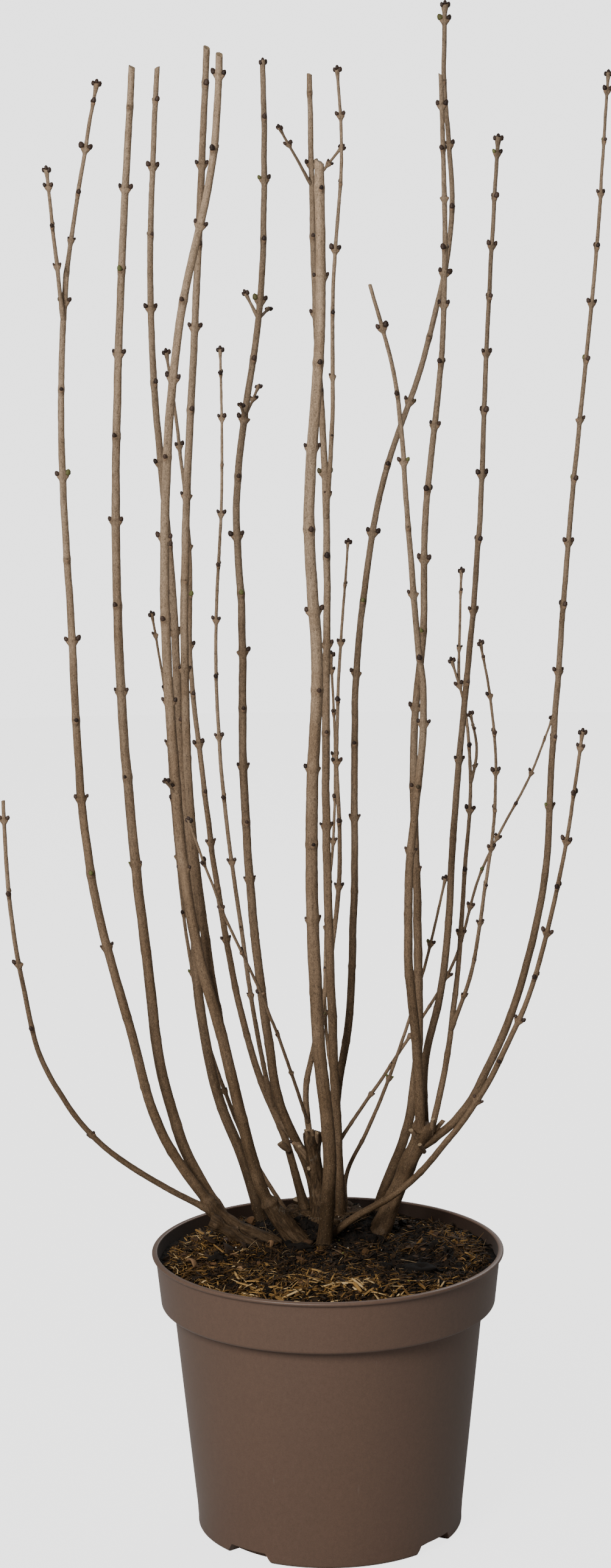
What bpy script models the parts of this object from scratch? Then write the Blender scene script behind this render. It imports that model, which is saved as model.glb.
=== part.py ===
"""A bare lilac bush in its nursery pot.

Metres, +Z up. The origin is the centre of the pot's flat underside, -Y is the front and +X the right.
Every stem is described in millimetres over the compost: where it stands, where it ends, and where it
stands sideways at a few heights between. Its wood, its pairs of buds and its foot follow by rule.
"""

import math
import random

import bmesh
import bpy
import numpy as np
from mathutils import Vector
from mathutils.bvhtree import BVHTree

MM = 0.001
GAP = 0.3 * MM                  # left between pieces that touch on the plant

# Pot, in millimetres
POT_HEIGHT = 228
LIP_RADIUS = 140
LIP_THICKNESS = 3
BAND_HEIGHT = 43.6
BAND_TOP_RADIUS = 136.8
BAND_FOOT_RADIUS = 133.2
BAND_ROUNDING = 3
BODY_TOP_RADIUS = 123.3
BODY_FOOT_RADIUS = 106
FOOT_ROUNDING = 3
WALL = 3
WALL_STEP = 8                   # height over which the wall steps out into the band
FLOOR = 11
NOTCH_HEIGHT = 8
NOTCH_WIDTH = 39
NOTCH_DEPTH = 12
NOTCH_ANGLES = (-38, 52, 142, 232)      # degrees from the front, turning right
TURNED_STEPS = 48

# Compost, in millimetres
SOIL = 225.5                    # level round the stems, over the pot's underside
SOIL_EDGE_DROP = 8
SOIL_FLAT_RADIUS = 104

# Root crown, the woody head that the middle stems rise from
CROWN_TOP = 17                  # over the compost
CROWN_CENTRE = (-2, 62)
CROWN_TOP_RADII = (32, 24)
CROWN_FOOT_RADII = (36, 27)
CROWN_SIDES = 28
CROWN_EDGE = 3

# Wood, in millimetres
SIDES = 6
BUDS = (20, 45, 1)              # first pair below the tip, next pair below that, growth of each gap
FIRST_PAIR = 15                 # no pair stands nearer to the tip than this
SIDEWAYS = 25                   # degrees that a stem's first pair may point off sideways
BUD_OUT = 2.3
BUD_RISE = 2.2
BUD_BELOW = 3.5
BUD_ABOVE = 5.0
NODE_SWELL = 1.12
TIP_BUD = 8.0
FLARE_REACH = 12
KNOB = 1.35
PATH_STEPS = 600

BARK = (0.20, 0.145, 0.095)
OLD_BARK = (0.11, 0.075, 0.048)
POT_COLOUR = (0.125, 0.083, 0.063)
COMPOST_COLOUR = (0.035, 0.023, 0.013)


def material(name, colour, roughness):
    """A plain finish: one Principled BSDF."""
    finish = bpy.data.materials.new(name)
    finish.use_nodes = True
    shader = finish.node_tree.nodes["Principled BSDF"]
    shader.inputs["Base Color"].default_value = (*colour, 1.0)
    shader.inputs["Roughness"].default_value = roughness
    shader.inputs["Metallic"].default_value = 0.0
    return finish


def add_object(name, mesh, collection, finish=None):
    """Put a mesh into the model as one named piece."""
    piece = bpy.data.objects.new(name, mesh)
    collection.objects.link(piece)
    if finish:
        mesh.materials.append(finish)
    return piece


def turned(name, profile, collection, finish):
    """A turned piece: a profile of (radius, height) in millimetres, top to bottom, and a Screw modifier."""
    mesh = bpy.data.meshes.new(name)
    points = [(radius * MM, 0.0, height * MM) for radius, height in profile]
    mesh.from_pydata(points, [(i, i + 1) for i in range(len(points) - 1)], [])
    piece = add_object(name, mesh, collection, finish)
    screw = piece.modifiers.new("Turn", "SCREW")
    screw.steps = TURNED_STEPS
    screw.render_steps = TURNED_STEPS
    screw.use_merge_vertices = True
    screw.merge_threshold = 0.00002
    return piece


def arc(centre, radius, start, end, count):
    """Points on an arc in the profile plane, angles in degrees from the outward radius."""
    angles = [math.radians(start + (end - start) * i / (count - 1)) for i in range(count)]
    return [(centre[0] + radius * math.cos(a), centre[1] + radius * math.sin(a)) for a in angles]


def inside_of_pot(clear):
    """The inner wall's profile from the floor up, in millimetres, held clear of the wall by clear."""
    inset = WALL + clear
    band_foot = POT_HEIGHT - BAND_HEIGHT
    return [(BODY_FOOT_RADIUS - inset, FLOOR + clear), (BODY_TOP_RADIUS - inset, band_foot + clear),
            (BAND_FOOT_RADIUS - inset, band_foot + WALL_STEP + clear)]


def make_pot(collection, cutters, finish):
    """The moulded pot: a tapering body, a deep band under the lip, and four notches at its foot."""
    lip_round = LIP_THICKNESS / 2
    band_foot = POT_HEIGHT - BAND_HEIGHT
    inner_lip = BAND_TOP_RADIUS - WALL
    profile = [(0.0, FLOOR), *inside_of_pot(0.0)]
    profile += [(inner_lip, POT_HEIGHT - 1.0), (inner_lip + 1.0, POT_HEIGHT)]
    profile += arc((LIP_RADIUS - lip_round, POT_HEIGHT - lip_round), lip_round, 80, -80, 4)
    profile += [(BAND_TOP_RADIUS, POT_HEIGHT - LIP_THICKNESS - 1.0)]
    profile += arc((BAND_FOOT_RADIUS - BAND_ROUNDING, band_foot + BAND_ROUNDING), BAND_ROUNDING, 5, -75, 5)
    profile += [(BODY_TOP_RADIUS, band_foot + 0.8)]
    profile += arc((BODY_FOOT_RADIUS - FOOT_ROUNDING, FOOT_ROUNDING), FOOT_ROUNDING, 0, -90, 4)
    profile += [(0.0, 0.0)]
    pot = turned("pot", profile, collection, finish)
    for number, angle in enumerate(NOTCH_ANGLES):
        turn = math.radians(angle)
        reach = BODY_FOOT_RADIUS - NOTCH_DEPTH + 20
        box = bmesh.new()
        bmesh.ops.create_cube(box, size=1.0)
        mesh = bpy.data.meshes.new("notch")
        box.to_mesh(mesh)
        box.free()
        cutter = add_object(f"notch_cutter_{number}", mesh, cutters)
        cutter.scale = (NOTCH_WIDTH * MM, 40 * MM, 2 * NOTCH_HEIGHT * MM)
        cutter.rotation_euler = (0.0, 0.0, turn)
        cutter.location = (reach * math.sin(turn) * MM, -reach * math.cos(turn) * MM, 0.0)
        cutter.hide_render = True
        cutter.display_type = "WIRE"
        cut = pot.modifiers.new("Notch", "BOOLEAN")
        cut.operation = "DIFFERENCE"
        cut.object = cutter
    return pot


def make_compost(collection, finish):
    """The compost that fills the pot, level round the stems and lower at the wall."""
    edge = SOIL - SOIL_EDGE_DROP
    wall = inside_of_pot(GAP / MM + 0.1)
    rise = (edge - wall[-1][1]) / (POT_HEIGHT - wall[-1][1])
    edge_radius = wall[-1][0] + (BAND_TOP_RADIUS - BAND_FOOT_RADIUS) * rise
    profile = [(0.0, wall[0][1]), *wall, (edge_radius, edge)]
    for part, lift in ((0.35, 0.16), (0.7, 0.62)):
        profile.append((edge_radius + (SOIL_FLAT_RADIUS - edge_radius) * part, edge + SOIL_EDGE_DROP * lift))
    profile += [(SOIL_FLAT_RADIUS, SOIL), (0.0, SOIL)]
    return turned("compost", profile[::-1], collection, finish)


def make_root_crown(collection, finish):
    """The knotty head of old wood: an oval mound with lobes round its side and a flat top."""
    crown = bmesh.new()
    bmesh.ops.create_cone(crown, cap_ends=True, segments=CROWN_SIDES, radius1=1.0, radius2=1.0, depth=1.0)
    for vert in crown.verts:
        top = vert.co.z > 0
        radii = CROWN_TOP_RADII if top else CROWN_FOOT_RADII
        angle = math.atan2(vert.co.y, vert.co.x)
        lobes = 1.0 + 0.05 * math.cos(5 * angle + 0.6) - 0.03 * math.cos(3 * angle)
        vert.co.x = (CROWN_CENTRE[0] + radii[0] * lobes * math.cos(angle)) * MM
        vert.co.y = (CROWN_CENTRE[1] + radii[1] * lobes * math.sin(angle)) * MM
        vert.co.z = (SOIL + CROWN_TOP) * MM if top else SOIL * MM + GAP
    mesh = bpy.data.meshes.new("root_crown")
    crown.to_mesh(mesh)
    crown.free()
    piece = add_object("root_crown", mesh, collection, finish)
    edge = piece.modifiers.new("Edge", "BEVEL")
    edge.width = CROWN_EDGE * MM
    edge.segments = 1
    edge.limit_method = "ANGLE"
    edge.angle_limit = math.radians(50)
    return piece


def smooth_through(known_at, known, wanted):
    """Cubic Hermite curve through known values, its slopes taken from the neighbours on both sides."""
    at = np.asarray(known_at, float)
    value = np.asarray(known, float)
    rise = np.diff(value) / np.diff(at)
    slope = np.full(len(at), rise[0])
    if len(at) > 2:
        step = np.diff(at)
        slope[1:-1] = (rise[:-1] * step[1:] + rise[1:] * step[:-1]) / (at[2:] - at[:-2])
        slope[0] = 1.5 * rise[0] - 0.5 * slope[1]
        slope[-1] = 1.5 * rise[-1] - 0.5 * slope[-2]
    left = np.clip(np.searchsorted(at, wanted, side="right") - 1, 0, len(at) - 2)
    span = at[left + 1] - at[left]
    t = (wanted - at[left]) / span
    return ((2 * t**3 - 3 * t**2 + 1) * value[left] + (t**3 - 2 * t**2 + t) * span * slope[left]
            + (3 * t**2 - 2 * t**3) * value[left + 1] + (t**3 - t**2) * span * slope[left + 1])


class Course:
    """The line that a stem follows, measured along its length in millimetres.

    Sideways it passes through the stated places. Front to back it runs straight from foot to tip, with a
    belly that is deepest half way up, and a kick that takes a side limb clear of its parent.
    """

    def __init__(self, foot, tip, places, belly, kick):
        heights = [foot[2], *(h for h, x in places), tip[2]]
        across = [foot[0], *(x for h, x in places), tip[0]]
        h = np.linspace(foot[2], tip[2], PATH_STEPS)
        t = (h - foot[2]) / (tip[2] - foot[2])
        depth = foot[1] + (tip[1] - foot[1]) * t + belly * 4 * t * (1 - t)
        depth = depth + kick * (1 - np.exp(-(h - foot[2]) / 18.0)) * (1 - t)
        self.points = np.stack([smooth_through(heights, across, h), depth, h + SOIL], axis=1)
        steps = np.linalg.norm(np.diff(self.points, axis=0), axis=1)
        self.along = np.concatenate([[0.0], np.cumsum(steps)])
        self.length = float(self.along[-1])

    def point(self, s):
        return Vector([float(np.interp(s, self.along, self.points[:, i])) for i in range(3)])

    def at_height(self, height):
        """The point of the line at a height over the compost, as (across, back, height)."""
        levels = self.points[:, 2] - SOIL
        return (*(float(np.interp(height, levels, self.points[:, i])) for i in (0, 1)), height)

    def direction(self, s):
        near = min(max(s, 1.0), self.length - 1.0)
        return (self.point(near + 1.0) - self.point(near - 1.0)).normalized()


def ring(course, s, radius, turn, buds=None):
    """A six-sided section across the course. buds is the corner pair that stands out as buds."""
    along = course.direction(s)
    side = Vector((1.0, 0.0, 0.0))
    side = (side - along * side.dot(along)).normalized()
    back = along.cross(side)
    centre = course.point(s)
    corners = []
    for k in range(SIDES):
        angle = 2 * math.pi * k / SIDES + turn
        outward = side * math.cos(angle) + back * math.sin(angle)
        if buds is not None and k % (SIDES // 2) == buds:
            corners.append(centre + outward * (radius + BUD_OUT) + along * BUD_RISE)
        else:
            corners.append(centre + outward * radius)
    return corners


def level_cut(corners, along, height):
    """Slide a section's corners along the limb until they lie on one level."""
    return [corner + along * ((height - corner.z) / along.z) for corner in corners]


def clear_start(course, radius, parent):
    """How far along its course a side limb comes 0.3 mm clear of its parent's bark."""
    def is_clear(s):
        for corner in ring(course, s, radius * 1.04, 0.0) + ring(course, s, radius * 1.04, math.pi / SIDES):
            spot = corner * MM
            nearest, normal, _, distance = parent.find_nearest(spot)
            if (spot - nearest).dot(normal) < 0 or distance < GAP:
                return False
        return True

    s = 0.0
    while not is_clear(s):
        s += 0.25
    return s


def bud_pairs(start, end, buds):
    """Distances of the bud pairs along a stem, counted down from its tip."""
    first, gap, growth = buds
    places = []
    s = end - max(first, FIRST_PAIR)
    while s > start + FIRST_PAIR / 2:
        places.insert(0, s)
        s -= gap
        gap += growth
    return places


def loft(name, rings, apex, collection, finish):
    """Skin the rings into one closed body, with a flat cap or a point at the end."""
    skin = bmesh.new()
    levels = [[skin.verts.new(corner * MM) for corner in corners] for corners in rings]
    for lower, upper in zip(levels, levels[1:]):
        for k in range(SIDES):
            after = (k + 1) % SIDES
            skin.faces.new((lower[k], lower[after], upper[after], upper[k]))
    skin.faces.new(levels[0][::-1])
    if apex is None:
        skin.faces.new(levels[-1])
    else:
        point = skin.verts.new(apex * MM)
        for k in range(SIDES):
            skin.faces.new((levels[-1][k], levels[-1][(k + 1) % SIDES], point))
    mesh = bpy.data.meshes.new(name)
    skin.to_mesh(mesh)
    skin.free()
    return add_object(name, mesh, collection, finish)


class Bush:
    """Grows the stems one after another, so that a side limb can find its parent."""

    def __init__(self, collection, young, old):
        self.collection = collection
        self.young = young
        self.old = old
        self.grown = {}
        self.courses = {}

    def bark_tree(self, name):
        """The parent's bark, as a tree of faces to measure distances to."""
        skin = bmesh.new()
        skin.from_mesh(self.grown[name].data)
        tree = BVHTree.FromBMesh(skin)
        skin.free()
        return tree

    def stem(self, name, foot, tip, girth, places=(), belly=0, kick=0, on=None, off=None,
             split=None, pruned=False, buds=BUDS, buds_from=0.3, flare=0.0, carries=False):
        """Grow one limb.

        foot and tip are (across, back, height), and girth the thickness at each. on is the height that a
        flat-cut foot stands at. A side limb names its parent in off, and its foot is only a height: it
        springs from the middle of the parent's wood there. split is the distance along the limb where it
        is parted into a lower and an upper piece. buds says how its pairs are spaced, and below buds_from of
        its length they are only swellings. A limb that carries others ends in a knob with a level top.
        """
        rng = random.Random(name)
        if off:
            foot = self.courses[off].at_height(foot)
        course = Course(foot, tip, places, belly, kick)
        thick, thin = girth[0] / 2, girth[1] / 2

        def radius(s):
            t = s / course.length
            return thick + (thin - thick) * t + thick * flare * math.exp(-s / FLARE_REACH)

        if off:
            start = clear_start(course, thick, self.bark_tree(off))
            rings = [ring(course, start, radius(start), 0.0)]
            next_ring = start + 6
        else:
            start = 0.0
            along = course.direction(0.0)
            rings = [level_cut(ring(course, 0.0, radius(0.0), 0.0), along, SOIL + on + GAP / MM)]
            slant = math.hypot(along.x, along.y) / along.z
            next_ring = max(8.0, 1.6 * radius(0.0) * slant + 3.0)
            rings.append(ring(course, next_ring, radius(next_ring), 0.0))

        pieces = []
        turn = math.radians(rng.uniform(-SIDEWAYS, SIDEWAYS))
        pair = 0
        for s in bud_pairs(next_ring, course.length, buds):
            if split and rings and s > split - 8 and len(pieces) == 0:
                rings.append(ring(course, split, radius(split), turn))
                pieces.append(rings)
                rings = [ring(course, split + GAP / MM, radius(split), turn)]
                if s < split + 8:
                    continue
            if s > buds_from * course.length:
                rings.append(ring(course, s - BUD_BELOW, radius(s), turn))
                rings.append(ring(course, s, radius(s) * NODE_SWELL, turn, pair))
                rings.append(ring(course, s + BUD_ABOVE, radius(s), turn))
                turn += math.radians(30)
                pair = (pair + 1) % (SIDES // 2)
            else:
                rings.append(ring(course, s, radius(s) * NODE_SWELL, turn))
        end = course.length
        if carries:
            knob = ring(course, end, radius(end) * KNOB, turn)
            rings.append(level_cut(knob, course.direction(end), SOIL + tip[2]))
            apex = None
        elif pruned:
            rings.append(ring(course, end, radius(end), turn))
            apex = None
        else:
            rings.append(ring(course, end - TIP_BUD, radius(end), turn))
            rings.append(ring(course, end - TIP_BUD * 0.6, radius(end) * 1.35, turn))
            apex = course.point(end)
        pieces.append(rings)
        finish = self.old if course.length < 130 and thick > 5 else self.young
        names = [name + "_lower", name + "_upper"] if split else [name]
        for number, (piece_name, piece_rings) in enumerate(zip(names, pieces)):
            top = apex if number == len(names) - 1 else None
            self.grown[piece_name] = loft(piece_name, piece_rings, top, self.collection, finish)
            self.courses[piece_name] = course


def grow_left(bush):
    """The stems on the left: two tall outer ones from a low bent base, and the front leader's group."""
    bush.stem("far_left_stem", (-48, 22, 0), (-188, -60, 774), (8.4, 4.2), on=0, split=205, belly=20,
              places=((19, -82), (42, -101), (87, -129), (180, -155), (270, -177), (520, -193), (700, -194)),
              flare=0.45, pruned=True, buds=(18, 68, -1))
    bush.stem("far_left_fork_left", 742, (-199, -88, 857), (3.2, 2.2), off="far_left_stem_upper",
              places=((800, -195),), kick=-7, buds=(16, 30, 0), buds_from=0)
    bush.stem("far_left_fork_right", 773, (-163, -40, 919), (3.4, 2.4), off="far_left_stem_upper",
              places=((830, -179),), buds=(18, 34, 0), buds_from=0)
    bush.stem("low_left_bough", 24, (-239, -120, 390), (5.1, 2.7), off="far_left_stem_lower", split=190,
              belly=-20, places=((82, -166), (150, -211), (248, -232)), buds=(6, 61.5, -1), buds_from=0.2,
              pruned=True)
    bush.stem("left_tall_stem", 21, (-142, 60, 928), (9.0, 5.0), off="far_left_stem_lower", kick=18,
              belly=8, places=((70, -113), (114, -127), (233, -143), (437, -159)), pruned=True,
              buds=(30, 62, 1))
    bush.stem("left_back_stem", (-53, 72, 0), (-126, 140, 928), (8.6, 4.0), on=0, flare=0.3,
              places=((55, -69), (100, -86), (182, -102), (281, -106), (355, -113), (502, -119), (748, -134)),
              pruned=True, buds=(26, 51, 3))
    bush.stem("left_back_shoot", (-30, 88, 0), (-138, 124, 499), (3.6, 1.7), on=0, belly=10,
              places=((41, -56), (95, -80), (161, -101), (226, -112), (361, -124), (433, -128)),
              buds=(20, 44, 1), buds_from=0.2)
    bush.stem("left_front_leader", (-24, 26, 0), (-71, -80, 936), (9.7, 5.0), on=0, flare=0.4, belly=8,
              places=((41, -51), (72, -60), (180, -84), (236, -98), (424, -117), (620, -117), (735, -105),
                      (869, -76)), pruned=True, buds=(14, 55, 1.5))
    bush.stem("left_front_branch", 184, (-84, 48, 942), (7.0, 4.9), off="left_front_leader", kick=10,
              belly=14, places=((348, -105), (487, -108), (787, -93)), pruned=True, buds=(28, 60, 1.5))
    bush.stem("left_front_twig", 372, (-123, -22, 388), (2.2, 1.8), off="left_front_leader")


def grow_inner_left(bush):
    """The cluster left of the middle, on the root crown."""
    bush.stem("inner_left_stem", (-19, 66, CROWN_TOP), (-122, 112, 710), (6.2, 2.2), on=CROWN_TOP,
              belly=10,
              places=((40, -25), (72, -34), (117, -52), (266, -85), (365, -97), (460, -106), (540, -105),
                      (631, -112)), flare=0.5, buds=(38, 40, 0))
    bush.stem("inner_left_shoot", 97, (-75, -30, 721), (3.9, 1.7), off="inner_left_stem",
              places=((167, -56), (256, -67), (383, -80), (510, -82), (599, -76)), buds=(22, 34, 2.5),
              buds_from=0.1)
    bush.stem("centre_left_stem", (-9, 63, CROWN_TOP), (-41, 20, 931), (7.8, 4.0), on=CROWN_TOP,
              places=((37, -12), (107, -38), (173, -48), (369, -63), (511, -63), (583, -66), (766, -44)),
              flare=0.35, pruned=True, buds=(42, 46, 0))
    for number, tip in enumerate(((-58, 24, 760), (-38, 56, 744))):
        bush.stem(f"centre_left_twig_{number + 1}", 737, tip, (2.4, 1.8), off="centre_left_stem")
    for number, tip in enumerate(((-61, 12, 674), (-47, 70, 684))):
        bush.stem(f"centre_left_twig_{number + 3}", 661, tip, (2.4, 1.8), off="centre_left_stem")
    bush.stem("pruned_stump", (-6, 48, CROWN_TOP), (-12, 49, 83), (12.4, 11.4), on=CROWN_TOP, flare=0.15,
              carries=True)
    bush.stem("centre_back_shoot", (-14, 50, 83), (22, 152, 553), (5.0, 1.7), on=83, belly=16,
              places=((120, -16), (146, -10), (281, 12), (385, 11)), buds=(38, 47, 1), buds_from=0.15)
    bush.stem("crossing_shoot", 90, (-102, -110, 375), (2.7, 1.8), off="centre_back_shoot", belly=-18,
              places=((212, -47), (302, -80)), buds=(42, 44, 1), buds_from=0.15)


def grow_centre(bush):
    """The middle of the bush: the thick front stem, the stem behind it and what springs from that."""
    bush.stem("centre_front_stem", (-3, 12, 0), (1, -80, 858), (11.0, 7.0), on=0, flare=0.25,
              places=((66, 2), (179, -6), (373, -9), (474, -4), (578, -9), (753, 1)), pruned=True,
              buds=(20, 65, -0.5))
    bush.stem("centre_back_stem", (11, 54, CROWN_TOP), (-6, 95, 922), (7.7, 3.9), on=CROWN_TOP, flare=0.2,
              belly=4, places=((309, 2), (620, 3), (744, -3)), pruned=True, buds=(6, 54, 2.5))
    bush.stem("centre_back_branch", 576, (15, 20, 928), (3.7, 2.1), off="centre_back_stem", kick=-10,
              places=((651, 9), (765, 11), (865, 18)), buds=(38, 52, -1), buds_from=0)
    bush.stem("centre_back_twig", 110, (7, 152, 461), (2.7, 1.9), off="centre_back_stem", kick=8, belly=18,
              places=((150, 1), (211, 0), (336, 9)), buds=(16, 35, 0), buds_from=0.15)
    for number, tip in enumerate(((-31, 62, 884), (21, 106, 868))):
        bush.stem(f"centre_top_twig_{number + 1}", 836, tip, (2.4, 1.8), off="centre_back_stem",
                  buds_from=0)
    bush.stem("tallest_stem", (4, 71, CROWN_TOP), (101, 140, 978), (6.7, 3.4), on=CROWN_TOP, flare=0.1,
              belly=10,
              places=((115, 10), (160, 18), (249, 23), (498, 32), (602, 50), (703, 84), (803, 105),
                      (922, 100)), buds=(4, 48, 1))
    bush.stem("long_diagonal_shoot", 72, (190, 180, 402), (2.9, 1.7), off="centre_back_stem", belly=60,
              places=((126, 55), (192, 104), (267, 130), (352, 173)), buds=(24, 31, 0), buds_from=0.1)
    bush.stem("short_diagonal_shoot", (15, 70, CROWN_TOP), (99, 112, 282), (3.4, 1.9), on=CROWN_TOP,
              belly=8, places=((37, 15), (76, 34), (196, 78)), buds=(58, 58, -1), buds_from=0.2)


def grow_right(bush):
    """The right side: a leaning trunk with a pruned head, the limbs on it, and two stems beside it."""
    head = 93
    bush.stem("right_trunk", (41, 43, 0), (79, 35, head), (14.0, 13.0), on=0, flare=0.25, carries=True)
    bush.stem("right_leader", (75, 30, head), (38, -50, 766), (8.0, 2.6), on=head, belly=6,
              places=((160, 72), (232, 66), (292, 66), (460, 77), (487, 74), (583, 66), (701, 55)),
              pruned=True, buds=(34, 52, 0))
    bush.stem("right_long_branch", (79, 41, head), (140, 80, 875), (6.3, 2.8), on=head, belly=4,
              places=((139, 79), (199, 92), (345, 104), (566, 124), (721, 131)), buds=(4, 34, 3))
    bush.stem("right_forked_branch", (85, 34, head), (102, 92, 464), (5.2, 1.8), on=head, belly=16,
              places=((125, 93), (183, 103), (292, 113), (365, 118), (424, 113)), buds=(24, 51, -0.5))
    bush.stem("right_forked_side", 166, (119, -60, 500), (3.4, 1.7), off="right_forked_branch", belly=-8,
              places=((214, 115), (280, 124), (341, 131), (435, 130)), buds=(2, 32, 0.5), buds_from=0.1)
    bush.stem("right_forked_tip", 442, (112, 118, 533), (2.2, 1.8), off="right_forked_branch", kick=4,
              buds_from=0)
    bush.stem("right_forked_spur", 362, (115, 36, 429), (2.4, 1.8), off="right_forked_branch",
              places=((389, 122),), buds_from=0)
    bush.stem("far_right_bough", 72, (222, 40, 923), (6.8, 2.0), off="right_trunk", split=235, belly=-10,
              places=((92, 99), (105, 110), (140, 129), (277, 171), (401, 180), (555, 191), (790, 213)),
              buds=(16, 38, 1.5))
    bush.stem("right_back_stem", (38, 78, 0), (96, 102, 921), (8.0, 3.3), on=0, flare=0.2, belly=2,
              places=((20, 44), (69, 63), (135, 74), (221, 75), (434, 75), (478, 80), (561, 82), (719, 97)),
              pruned=True, buds=(24, 34, 3))
    bush.stem("low_right_stem", (-1, 27, 0), (195, -95, 437), (5.9, 2.3), on=0, split=150, belly=-24,
              places=((20, 19), (43, 52), (96, 96), (146, 126), (178, 140), (217, 155), (286, 172)),
              buds=(12, 37, 0.5), buds_from=0.35)


def main():
    for old in list(bpy.data.objects):
        bpy.data.objects.remove(old, do_unlink=True)
    collection = bpy.data.collections.new("potted lilac bush")
    cutters = bpy.data.collections.new("cutters")
    bpy.context.scene.collection.children.link(collection)
    bpy.context.scene.collection.children.link(cutters)
    make_pot(collection, cutters, material("moulded plastic", POT_COLOUR, 0.45))
    make_compost(collection, material("compost", COMPOST_COLOUR, 0.95))
    old_bark = material("old bark", OLD_BARK, 0.85)
    make_root_crown(collection, old_bark)
    bush = Bush(collection, material("bark", BARK, 0.7), old_bark)
    grow_left(bush)
    grow_inner_left(bush)
    grow_centre(bush)
    grow_right(bush)


main()
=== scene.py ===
"""Dresses a bare lilac bush in its pot: bark and buds on every stem, the moulded pot, and the compost.

Metres, +Z up, -Y is the front. Stems are described in millimetres over the compost, by the same rule as the
solids that they stand for. A finished piece sits at the origin with its place in its mesh.
"""

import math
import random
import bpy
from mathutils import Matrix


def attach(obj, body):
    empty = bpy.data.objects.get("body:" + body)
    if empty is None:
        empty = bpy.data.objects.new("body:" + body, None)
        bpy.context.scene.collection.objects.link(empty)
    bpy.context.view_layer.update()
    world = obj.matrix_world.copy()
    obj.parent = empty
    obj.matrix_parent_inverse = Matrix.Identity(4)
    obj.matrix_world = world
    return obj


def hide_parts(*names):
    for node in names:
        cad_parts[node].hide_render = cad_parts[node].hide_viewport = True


bl_info = {
    "name": "Bare Lilac Bush in a Pot",
    "version": (1, 0, 0),
    "blender": (4, 5, 0),
    "location": "View3D > Sidebar > Lilac",
    "description": "Grows the bark, buds, pot and compost of a leafless lilac bush on its solid frame",
    "category": "Add Mesh",
}

import bpy
import numpy as np
from bpy.props import FloatProperty, FloatVectorProperty, IntProperty, PointerProperty
from bpy.types import Operator, Panel, PropertyGroup
from mathutils import Matrix, Vector

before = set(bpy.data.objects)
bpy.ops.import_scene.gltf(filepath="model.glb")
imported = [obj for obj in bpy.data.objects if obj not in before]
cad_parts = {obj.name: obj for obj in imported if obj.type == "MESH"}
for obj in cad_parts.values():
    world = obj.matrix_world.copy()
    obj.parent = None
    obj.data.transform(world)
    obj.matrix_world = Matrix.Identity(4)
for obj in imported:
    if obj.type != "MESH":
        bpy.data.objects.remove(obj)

MM = 0.001

# Pot, in millimetres
POT_HEIGHT = 228
LIP_RADIUS = 140
LIP_THICKNESS = 3
BAND_HEIGHT = 43.6
BAND_TOP_RADIUS = 136.8
BAND_FOOT_RADIUS = 133.2
BAND_ROUNDING = 3
BODY_TOP_RADIUS = 123.3
BODY_FOOT_RADIUS = 106
FOOT_ROUNDING = 3
WALL = 3
WALL_STEP = 8
LIP_WALL = 1.2
FLOOR = 11
NOTCH_HEIGHT = 8
NOTCH_WIDTH = 39
NOTCH_SLANT = 5
NOTCH_DEPTH = 12
NOTCH_ANGLES = (-38, 52, 142, 232)

# Compost, in millimetres
SOIL = 225.5
SOIL_EDGE_DROP = 8
SOIL_FLAT_RADIUS = 104
HOLLOW = (70, -38)              # middle of the dark hollow at the front right, across and back
HOLLOW_RADIUS = 27
HOLLOW_DEPTH = 6.0
BACK_DIP = (52, 88)             # middle of the dip behind the trunk
BACK_DIP_RADIUS = 20
BACK_DIP_DEPTH = 4.0
LEFT_RISE = (-78, 8)            # middle of the low heap on the left
LEFT_RISE_RADIUS = 30
LEFT_RISE_HEIGHT = 3.5
CROWN_HEAP = 11.0               # how high the compost is heaped against the root crown
SKIRT = 26                      # how far the compost's skirt reaches down inside the pot

# Root crown, in millimetres
CROWN_TOP = 17
CROWN_CENTRE = (-2, 62)
CROWN_TOP_RADII = (32, 24)
CROWN_FOOT_RADII = (36, 27)

# Wood, in millimetres
BUDS = (20, 45, 1)              # first pair below the tip, next pair below that, growth of each gap
FIRST_PAIR = 15
SIDEWAYS = 25                   # degrees that a stem's first pair may point off sideways
FLARE_REACH = 12
KNOB = 1.35
SUNK = 5                        # how deep a stem's foot is sunk in the compost or in the crown
PATH_STEPS = 600
BARK = 0.12                     # thickness of the bark over the wood
WANDER = 0.35                   # how far a stem strays from its course
RING_STEP = 1.6
NODE_RING_STEP = 0.5
TIP_RING_STEP = 0.75
PRUNED_SLANT = 0.55             # rise of a pruned tip's cut over its radius
BLUNT_SLANT = 0.2
HEEL_RING = 0.8                 # height of the ring where the old wood of a heel ends
HEEL_GROOVE = 0.4
FORK_SWELL = 0.3                # how much thicker a side limb is where it leaves its parent, as a share
FORK_REACH = 4.0
TIP_SWELL = 0.7                 # how much thicker a shoot is under its terminal buds, as a share
SHOULDER = 2.0                  # how far the wood under a bud stands out on the thinnest stems

# Buds, in millimetres, degrees and shares
BUD_LENGTH = 4.6
BUD_WIDTH = (0.76, 0.88)        # as a share of its length
BUD_TILT = (18, 34)             # away from the stem
BUD_OFF_STEM = 0.75
BUD_MISSING = 0.1               # chance that a side bud has broken off
TIP_BUD_LENGTH = 3.4
TIP_BUD_GROWTH = 0.6            # longer by this for each millimetre of the tip's radius
TIP_BUD_MOST = 5.0
TIP_BUD_WIDTH = 0.82

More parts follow.
